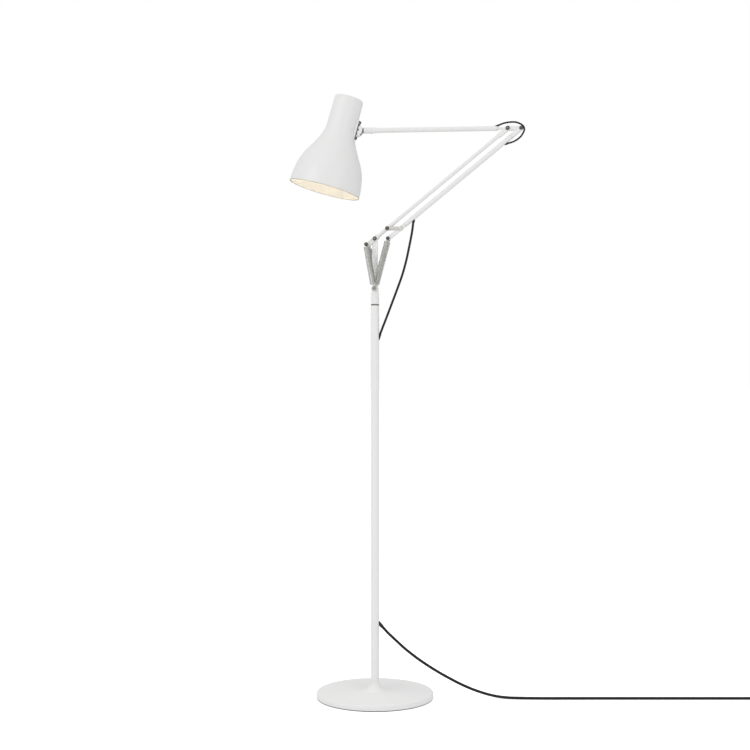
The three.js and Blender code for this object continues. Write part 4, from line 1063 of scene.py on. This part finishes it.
seat = fork_outer + clearance
bolt("elbow_bolt", upper_place, -seat, seat + thread_reach, "upper_arm", dark_steel, "dark_steel", worn_zinc_and_highlight)
cap_nut("elbow_nut", upper_place, seat, "upper_arm", dark_steel, "dark_steel")
rivet("tie_rivet", moved(upper_place, crank), link_pin_radius, seat, link_pin_head, link_pin_rise,
      "upper_arm", dark_steel)
hood("arm_grommet", arm_exit_place, loop_radius, hood_stand,
     rod(upper_place, upper_radius + clearance, -upper_length, 0), "upper_arm")
flange = -upper_length - clearance
flange_end = flange - end_bush_flange
sleeve_end = flange + end_bush_length
flange_rim = swaged_radius - clearance
end_bush = turn([
    (sleeve_bore, flange_end), (swaged_radius - 0.0006, flange_end), (flange_rim, flange_end + 0.0003),
    (flange_rim, flange), (sleeve_radius, flange), (sleeve_radius, sleeve_end), (sleeve_bore, sleeve_end),
    (sleeve_bore, flange_end),
], X, count=48)
bush_ring = cut(piece_from("end_bush_ring", end_bush, upper_place), grub_bore())
fit(bush_ring, "upper_arm", grey_nylon, "grey_nylon", "end_bush")
grub_top = grub_socket_depth - grub_stand
grub_end = stalk_groove - stalk_radius - clearance
grub = turn(eased([
    (0, grub_top), (grub_socket_radius, grub_top), (grub_socket_radius, -grub_stand),
    (grub_radius, -grub_stand), (grub_radius, grub_end), (0, grub_end),
], 0.0002), Z, (grub_at, 0, 0))
fit_body("grub_screw", grub, upper_place, "upper_arm", worn_zinc_and_highlight, "dark_steel")

# Tie rod: a painted tube above and beside the lower arm. A flat foot at its low end takes the right
# springs, and a fork at its high end holds the crank. The cable leaves it near both ends.
right_offset = 0.0102
tie_radius = 0.0058
drop_rise = 0.0735
drop_angle = -136
elbow_exit = 0.050
elbow_exit_angle = -28
foot_half_thickness = 0.0042
foot_half_width = 0.0049
foot_root = 0.009
foot_plug = 0.014
open_pivot_gap = 0.0005

tie_place = frame_of(crank_end, elbow - arm_pivot, across)
foot_pivot = link_reach - rod_length
tie_low = foot_pivot + foot_root + fork_cone
drop_place = slanted(tie_place, drop_rise - rod_length, -tie_radius, drop_angle)
high_place = slanted(tie_place, -elbow_exit, -tie_radius, elbow_exit_angle)
tube_end = -fork_slot - fork_neck
tube("tie_tube_skin", tie_place, tie_radius, tie_low + clearance, tube_end - clearance, "tie_rod", "tie_tube",
     exit_bore(drop_place, cable_radius), exit_bore(high_place, loop_radius))
for node, exit_place, cable in (
    ("tie_grommet_low", drop_place, cable_radius), ("tie_grommet_high", high_place, loop_radius),
):
    host = rod(tie_place, tie_radius + clearance, tie_low, tube_end)
    hood(node, exit_place, cable, hood_stand, host, "tie_rod")
strap_end = tie_low - fork_cone
foot_strap = plate(strap_outline(-rod_length, foot_half_width, strap_end, foot_half_width),
                   -foot_half_thickness, foot_half_thickness, fork_round)
foot = cut(
    piece_from("foot_strap", foot_strap), block(strap_end, tie_low + foot_half_width, bore_reach, bore_reach),
    bore(level, bolt_radius + clearance, -rod_length),
    bore(level, link_pin_radius + open_pivot_gap, foot_pivot),
)
foot_bore = tie_radius - lower_wall - clearance
cone = turn(eased([
    (0, strap_end), (foot_half_thickness, strap_end), (tie_radius, tie_low), (foot_bore, tie_low),
    (foot_bore, tie_low + foot_plug), (0, tie_low + foot_plug),
]), X)
fit_body("tie_foot", take_in(cone, foot), tie_place, "tie_rod", white_paint, "white_paint")
tie_fork_place = frame_of(crank_end, arm_pivot - elbow, across)
fork("tie_fork", tie_fork_place, fork_inner, fork_thickness, tie_fork_end, fork_slot, tie_radius,
     link_pin_radius, 0, "tie_rod")
rivet("tie_spring_pin", moved(tie_place, -rod_length), bolt_radius, right_offset + wire / 2 + clearance,
      stud_head_radius, stud_head_height, "tie_rod", dark_steel)

# Springs: close wound plated wire, two on the lower fork's studs and two on the tie rod's foot.
# All four hook on the anchor bolt below, and they stretch as the arm swings.
left_radius = 0.0075
right_radius = 0.0065
left_low_gap = 0.010
left_high_gap = 0.006
right_low_gap = 0.011
right_high_gap = 0.0065
left_curls = 52
right_curls = 62
steps_per_curl = 16
hook_turn = math.radians(240)
ramp_steps = 8
wire_sides = 8


def spring_line(start, end, radius, curls, low_gap, high_gap):
    """Centreline of one wire: a hook, a shank, its curls, and a shank and hook again."""
    span = end - start
    axis = span.normalized()
    sideways = Vector((axis.z, 0, -axis.x))
    eye = bolt_radius + clearance + wire / 2
    mean = radius - wire / 2

    def place(n, s, y=0.0):
        return start + sideways * n + axis * s + across * y

    low = [place(n, s) for n, s in arc(0, 0, eye, -hook_turn, 0)]
    high = [place(n, s + span.length) for n, s in arc(0, 0, eye, 0, hook_turn)]
    wound = []
    total = curls * steps_per_curl
    wound_length = span.length - low_gap - high_gap
    for k in range(total + 1):
        angle = 2 * math.pi * k / steps_per_curl
        ramp = min(1, k / ramp_steps, (total - k) / ramp_steps)
        r = eye + (mean - eye) * ramp
        wound.append(place(r * math.cos(angle), low_gap + wound_length * k / total, r * math.sin(angle)))
    first = low[0] + (low[0] - low[1]).normalized() * wire
    last = high[-1] + (high[-1] - high[-2]).normalized() * wire
    return [first, *low, *wound, *high, last]


def wire_mesh(name, line, radius, sides):
    """A round wire or cable along a line, as a mesh with rounded ends."""
    builder = bmesh.new()
    rings = []
    side = across.cross(line[1] - line[0]).normalized()
    last = len(line) - 1
    for k, point in enumerate(line):
        way = (line[min(k + 1, last)] - line[max(k - 1, 0)]).normalized()
        side = (side - way * side.dot(way)).normalized()
        up = way.cross(side)
        turns = [2 * math.pi * i / sides for i in range(sides)]
        ring = [point + (side * math.cos(a) + up * math.sin(a)) * radius for a in turns]
        if k in (0, last):
            rounding = way * (radius * 0.35) * (-1 if k == 0 else 1)
            tip = [point + rounding + (p - point) * 0.6 for p in ring]
            rings += [tip, ring] if k == 0 else [ring, tip]
        else:
            rings.append(ring)
    skin(builder, rings)
    return piece_from(name, builder, crease=60)


def pull(piece, target, share_at):
    """Lets a mesh follow another body too, each point by its own share."""
    group = piece.vertex_groups.new(name="pulled")
    for vertex in piece.data.vertices:
        group.add([vertex.index], share_at(vertex.co), "REPLACE")
    bpy.context.view_layer.update()
    follow = piece.modifiers.new("pull", "HOOK")
    follow.object = target
    follow.vertex_group = group.name
    follow.matrix_inverse = target.matrix_world.inverted() @ piece.matrix_world
    return piece


def level_point(name, at, body, followed):
    """A point that goes where a point of another body goes, but turns only with its own body."""
    lead = bpy.data.objects.new(name + "_lead", None)
    point = bpy.data.objects.new(name, None)
    for empty, owner in ((lead, followed), (point, body)):
        scene.collection.objects.link(empty)
        empty.location = at
        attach(empty, owner)
    same = point.constraints.new("COPY_LOCATION")
    same.target = lead
    return point


spring_steel = finish("spring_steel", (0.74, 0.74, 0.71), 0.4, 0.95, mottle=0.1, mottle_scale=120, grain=0.06)
left_hook = lower_place @ Vector((-spring_reach, 0, 0))
right_hook = tie_place @ Vector((-rod_length, 0, 0))
for name, hook_point, body, offset, radius, curls, low_gap, high_gap in (
    ("left_spring", left_hook, "lower_arm", left_offset, left_radius, left_curls,
     left_low_gap, left_high_gap),
    ("right_spring", right_hook, "tie_rod", right_offset, right_radius, right_curls,
     right_low_gap, right_high_gap),
):
    for side, end_name in ((-1, "near"), (1, "far")):
        shift = across * side * offset
        start, end = Vector((0, 0, anchor_height)) + shift, hook_point + shift
        node = name + "_" + end_name
        line = spring_line(start, end, radius, curls, low_gap, high_gap)
        spring = wire_mesh(node + "_wire", line, wire / 2, wire_sides)
        fit(spring, "head", spring_steel, "spring_steel", node)
        along = (end - start).normalized()
        wound = (end - start).length - low_gap - high_gap
        pull(spring, level_point(node + "_end", end, "head", body),
             lambda at: min(1, max(0, ((at - start).dot(along) - low_gap) / wound)))

# Cables: black flex that loops from the upper arm round the elbow into the tie rod, and from the
# tie rod's low end down into the post. The drop cable's upper part bends with the tie rod as the arm moves.
elbow_route = [
    (0.2873, 0, 1.3631), (0.2927, 0, 1.3657), (0.2972, 0, 1.3679), (0.302, 0, 1.37), (0.3066, 0, 1.3717),
    (0.314, 0, 1.3733), (0.322, 0, 1.3743), (0.3302, 0, 1.3745), (0.3374, 0, 1.3737), (0.344, 0, 1.3713),
    (0.3503, 0, 1.3678), (0.3547, 0, 1.3634), (0.3564, 0, 1.3576), (0.3554, 0, 1.3516), (0.3524, 0, 1.346),
    (0.3489, 0, 1.3406), (0.3435, 0, 1.3356), (0.3373, 0, 1.3312), (0.3306, 0, 1.3278), (0.3239, 0, 1.3255),
    (0.319, 0, 1.3244), (0.3141, 0, 1.3234), (0.3082, 0, 1.3222),
]
drop_route = [
    (0.0932, 0, 1.1478), (0.0926, 0, 1.1428), (0.092, 0, 1.1378), (0.0911, 0, 1.13), (0.0892, 0, 1.116),
    (0.0859, 0, 1.098), (0.0816, 0, 1.077), (0.0758, 0, 1.05), (0.0666, 0, 1.0162), (0.0552, 0, 0.984),
    (0.0414, 0, 0.9474), (0.0266, 0, 0.9086), (0.0157, 0, 0.8809), (0.0118, 0, 0.8707), (0.01, 0, 0.866),
    (0.0082, 0, 0.8613),
]
loop_spacing = 0.0015
cable_sides = 20
drop_split = 0.975
drop_led = 1.14

elbow_cable = wire_mesh("elbow_cable_flex", smooth_line(elbow_route, loop_spacing), loop_radius, cable_sides)
paint_with(elbow_cable, cord_black)
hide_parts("elbow_cable")
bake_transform(elbow_cable)
drop_line = smooth_line(drop_route, cord_spacing)
meeting = next(k for k, point in enumerate(drop_line) if point.z < drop_split)
drop_cable = wire_mesh("drop_cable_flex", drop_line[:meeting + 1], cable_radius, cable_sides)
fit(drop_cable, "head", cord_black, "black_plastic", "drop_cable")
pull(drop_cable, frame["bodies"]["tie_rod"], lambda at: smooth_share(at.z, drop_split, drop_led))
post_cable = wire_mesh("drop_cable_low_end", drop_line[meeting:], cable_radius, cable_sides)
paint_with(post_cable, cord_black)
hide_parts("drop_cable")
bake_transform(post_cable)

# Nose: a dark steel stalk that rolls in the arm's bush, with a barrel across its end on which the
# shade tilts.
stalk_length = 0.033
stalk_groove_width = 0.005
barrel_radius = 0.005
barrel_half = 0.0096
barrel_round = 0.0005
tilt_pin_radius = 0.002
tilt_reach = (tilt_pivot - elbow).length
roll_axis = joints["shade_roll"]["axis"]
tilt_across = -Vector(joints["shade_tilt"]["axis"])
nose_place = frame_of(tilt_pivot, roll_axis, tilt_across)
groove_at = tilt_reach + grub_at
groove_near = groove_at - stalk_groove_width / 2
groove_far = groove_at + stalk_groove_width / 2
groove_radius = stalk_radius - stalk_groove
stalk_end = barrel_radius + stalk_length
stalk = turn(eased([
    (0, 0), (stalk_radius, 0), (stalk_radius, groove_near), (groove_radius, groove_near),
    (groove_radius, groove_far), (stalk_radius, groove_far), (stalk_radius, stalk_end), (0, stalk_end),
]), X)
stalk_piece = piece_from("nose_stalk_body", stalk)
barrel = bar(barrel_radius, -barrel_half, barrel_half, barrel_round, Y)
shape(stalk_piece, "UNION", barrel)
cut(stalk_piece, bore(level, tilt_pin_radius + clearance))
stalk_piece.data.transform(nose_place)
fit(stalk_piece, "nose", dark_steel, "dark_steel", "nose_stalk")

# Shade: spun aluminium with a straight neck, a flared skirt and a rounded top, painted white inside
# and out.
shade_length = 0.2285
shade_wall = 0.0012
neck_radius = 0.0363
mouth_radius = 0.0866
rim_setback = 0.0002
rim_lip = 0.0006
top_inset = 0.0012
top_round = 0.005
neck_length = 0.078
tilt_drop = 0.0709
tilt_out = 0.0427
flare_shares = [
    (0.08, 0.045), (0.2, 0.175), (0.29, 0.315), (0.39, 0.48), (0.485, 0.65), (0.585, 0.785), (0.7, 0.89),
    (0.85, 0.965), (1, 1),
]
button_radius = 0.0056
window_half_height = 0.0095
pad_screw_radius = 0.0015
pad_screw_spacing = 0.039
knuckle_radius = 0.0162

press_way = Vector(joints["switch_press"]["axis"])
shade_place = frame_of(tilt_pivot, tilt_across.cross(-press_way), tilt_across)
shade_top = tilt_drop
shade_mouth = shade_top - shade_length
flare_length = shade_length - neck_length
neck_low = shade_top - neck_length
flare_knots = [(neck_radius, 0, neck_low)]
for down, out in flare_shares:
    flare_knots.append((neck_radius + (mouth_radius - neck_radius) * out, 0, neck_low - flare_length * down))
flare_line = [(point.x, point.z) for point in smooth_line(flare_knots, 0.004)]
corner = neck_radius - top_inset - top_round
outer_line = [*flare_line[::-1], *quarter(corner, shade_top - top_round, top_round, 0, 90, 10)]
inner_line = []
for k, (r, z) in enumerate(outer_line):
    r0, z0 = outer_line[max(k - 1, 0)]
    r1, z1 = outer_line[min(k + 1, len(outer_line) - 1)]
    span = math.hypot(r1 - r0, z1 - z0)
    inner_line.append((r - shade_wall * (z1 - z0) / span, z + shade_wall * (r1 - r0) / span))
inner_line[0] = (inner_line[0][0], shade_mouth)
button_hole = button_radius + clearance
axis_at = (-tilt_out, 0, 0)
shell = turn([
    *outer_line, (button_hole, shade_top), (button_hole, shade_top - shade_wall),
    *inner_line[::-1], outer_line[0],
], Z, axis_at, 144)
shade = piece_from("shade_skin", shell, crease=50)
window_half = barrel_half + clearance


def window(low):
    """The opening behind the knuckle, as a cutting tool."""
    outline = box_line(low, knuckle_radius, -window_half_height, window_half_height)
    return plate(outline, -window_half, window_half, 0)


def screw_bores():
    """Cutting tools for the two pad screws' holes."""
    return [
        rod(level, pad_screw_radius + clearance, -neck_radius, knuckle_radius, X, (0, 0, rise))
        for rise in (-pad_screw_spacing / 2, pad_screw_spacing / 2)
    ]


cut(shade, window(-neck_radius), *screw_bores(), crease=50)
shade.data.transform(shade_place)
# The thin ring under the mouth is coloured dark olive: painted shade along the rim's edge.
rim_outer = mouth_radius - rim_setback
rim_inner = mouth_radius - shade_wall - rim_lip
rim_high, rim_edge, rim_low = shade_mouth + 0.0001, shade_mouth - 0.0003, shade_mouth - 0.0007
rim = turn([
    (rim_inner, rim_high), (rim_outer, rim_edge), (rim_outer, rim_low),
    (rim_inner, rim_low), (rim_inner, rim_high),
], Z, axis_at, 144)
rim_painted_shade = finish("rim_painted_shade", (0.42, 0.4, 0.34), 0.6, mottle=0.03, mottle_scale=40)
fit(piece_from("shade_rim", rim, shade_place), "shade", rim_painted_shade, "shade_paint")
shade_white = finish("shade_paint", (0.79, 0.79, 0.787), 0.38, mottle=0.01, mottle_scale=8, grain=0.05,
                     grain_scale=600, gloss_change=0.04)
fit(shade, "shade", shade_white, "shade_paint", "shade_shell")

# Knuckle: a white pad with a dark grey plate on its face, screwed to the shade's neck, and a white half
# drum over the barrel. The plate's grey is partly its own colour and partly painted shade, the shadow in the
# gap between pad and drum.
pad_half_length = 0.0225
pad_half_width = 0.013
pad_stand = 0.0049
pad_depth = 0.004
pad_corner = 0.005
pad_reach = 0.06
pad_round = 0.0005
pin_round = 0.0004
face_plate = 0.0015
face_gap = 0.00005
housing_half_width = 0.012
housing_wall = 0.002
housing_round = 0.0012
room_turn = 0.98 * math.pi
pad_screw_head = 0.0029
pad_screw_rise = 0.0024
pad_screw_length = 0.009
level_angle = 14.8
tilt_up, tilt_down = (abs(limit) for limit in joints["shade_tilt"]["range_deg"])

drum_at = neck_radius - tilt_out
pad_face = drum_at + pad_stand
housing_face = pad_face + clearance
pad_line = []
for k, (y, z) in enumerate(((1, 1), (-1, 1), (-1, -1), (1, -1))):
    pad_line += arc(y * (pad_half_width - pad_corner), z * (pad_half_length - pad_corner), pad_corner,
                    k * math.pi / 2, (k + 1) * math.pi / 2, 8)
pad_turn = Matrix.Rotation(-math.pi / 2, 4, "Z")
neck = (neck_radius + clearance, -pad_reach, pad_reach, Z, axis_at, 96)
# The face plate's grey is partly its own colour and partly painted shade in the gap between pad and drum.
face_grey_and_gap_shade = finish("face_grey_and_gap_shade", (0.17, 0.17, 0.17), 0.5, mottle=0.1, mottle_scale=150, grain=0.2,
                   grain_scale=1300)
for name, low, high, material, slot, nodes in (
    ("knuckle_pad_body", drum_at - pad_depth, pad_face - face_plate - face_gap, white_paint, "white_paint",
     ["knuckle_pad"]),
    ("knuckle_face_plate", pad_face - face_plate, pad_face, face_grey_and_gap_shade, "black_plastic", []),
):
    piece = piece_from(name, plate(pad_line, low, high, pad_round), pad_turn)
    cut(piece, rod(level, *neck), window(-barrel_radius - clearance / 3), *screw_bores())
    piece.data.transform(shade_place)
    fit(piece, "shade", material, slot, *nodes)

reach_angle = math.acos((housing_face - drum_at) / knuckle_radius)
drum = plate(arc(drum_at, 0, knuckle_radius, -reach_angle, reach_angle, 48),
             -housing_half_width, housing_half_width, housing_round)
housing = piece_from("knuckle_housing_body", drum)
room = plate(arc(drum_at, 0, knuckle_radius - housing_wall, -math.pi, room_turn, 60),
             housing_wall - housing_half_width, housing_half_width - housing_wall, 0)
slot_side = stalk_radius + 2 * clearance
low_turn = math.radians(level_angle - tilt_down)
high_turn = math.radians(level_angle + tilt_up)
mid_turn = (low_turn + high_turn) / 2
slot_reach = 2 * knuckle_radius
below = (slot_side * math.sin(low_turn), -slot_side * math.cos(low_turn))
above = (-slot_side * math.sin(high_turn), slot_side * math.cos(high_turn))


def out_from(point, angle):
    """The far end of the slot's side from a point."""
    return (point[0] + slot_reach * math.cos(angle), point[1] + slot_reach * math.sin(angle))


slot = plate([
    below, out_from(below, low_turn), out_from((0, 0), mid_turn), out_from(above, high_turn), above,
], -slot_side, slot_side, 0)
cut(housing, room, slot, bore(level, tilt_pin_radius + clearance))
housing.data.transform(shade_place)
fit(housing, "shade", white_paint, "white_paint", "knuckle_housing")

head_seat = pad_face + clearance
screw_end = pad_face - pad_screw_length
for side, node in ((1, "pad_screw_top"), (-1, "pad_screw_low")):
    screw = turn([
        (0, screw_end), (pad_screw_radius, screw_end), (pad_screw_radius, head_seat),
        *dome(pad_screw_head, pad_screw_rise, head_seat, 1)[::-1],
    ], X, (0, 0, side * pad_screw_spacing / 2))
    fit_body(node, screw, shade_place, "shade", dark_steel, "dark_steel")
pin = bar(tilt_pin_radius, -housing_half_width, housing_half_width, pin_round, Y)
fit_body("tilt_pin", pin, shade_place, "shade", dark_steel, "dark_steel")

# Lampholder, bulb and push switch: a black holder under the shade's top, a frosted bulb that is lit,
# and a black button that stands out of the top.
holder_radius = 0.018
holder_length = 0.050
holder_round = 0.0008
cap_radius = 0.0132
socket_depth_in = 0.033
button_bore_depth = 0.015
button_stand = 0.0052
button_depth = 0.009
button_round = 0.0012
bulb_radius = 0.030
bulb_length = 0.082
bulb_cap_length = 0.027
bulb_shoulder = math.radians(50)
bulb_glow = 8.0
neck_in = 0.55
neck_down = 0.5

holder_high = shade_top - shade_wall - clearance
holder_low = holder_high - holder_length
socket_top = holder_low + socket_depth_in
holder_bore = cap_radius + clearance
button_sleeve = button_radius + 2 * clearance
sleeve_floor = holder_high - button_bore_depth
holder = turn(eased([
    (holder_bore, holder_low), (holder_radius, holder_low), (holder_radius, holder_high),
    (button_sleeve, holder_high), (button_sleeve, sleeve_floor), (0, sleeve_floor), (0, socket_top),
    (holder_bore, socket_top), (holder_bore, holder_low),
], holder_round), Z, axis_at, 48)
holder_black = finish("holder_black", (0.022, 0.022, 0.022), 0.45, mottle=0.08, mottle_scale=120, grain=0.15)
fit_body("lampholder", holder, shade_place, "shade", holder_black, "black_plastic")
paint_with(frame["nodes"]["bulb_cap"], brass)

bulb_high = socket_top - clearance - bulb_cap_length - clearance
bulb_low = bulb_high - bulb_length
ball_middle = bulb_low + bulb_radius
throat = cap_radius - clearance
ball_end = (bulb_radius * math.cos(bulb_shoulder), ball_middle + bulb_radius * math.sin(bulb_shoulder))
glass = turn([
    (0, bulb_low), *quarter(0, ball_middle, bulb_radius, -88, 50, 24),
    (ball_end[0] + (throat - ball_end[0]) * neck_in, ball_end[1] + (holder_low - ball_end[1]) * neck_down),
    (throat, holder_low - overlap), (throat, bulb_high), (0, bulb_high),
], Z, axis_at, 64)
opal_glass = finish("opal_glass", (0.9, 0.86, 0.76), 0.35, mottle=0.02, mottle_scale=40, grain=0.03)
set_up(opal_glass.node_tree, opal_glass.node_tree.nodes["Principled BSDF"], {
    "Emission Color": (1, 0.81, 0.49, 1), "Emission Strength": bulb_glow,
})
fit(piece_from("bulb_glass_skin", glass, shade_place), "shade", opal_glass, "opal_glass", "bulb_glass")

button_high = shade_top + button_stand
button = bar(button_radius, shade_top - button_depth, button_high, button_round, Z, axis_at, 40, 6)
pad_black = finish("pad_black", (0.06, 0.06, 0.06), 0.5, mottle=0.1, mottle_scale=150, grain=0.2,
                   grain_scale=1300)
fit_body("switch_button", button, shade_place, "switch", pad_black, "black_plastic")
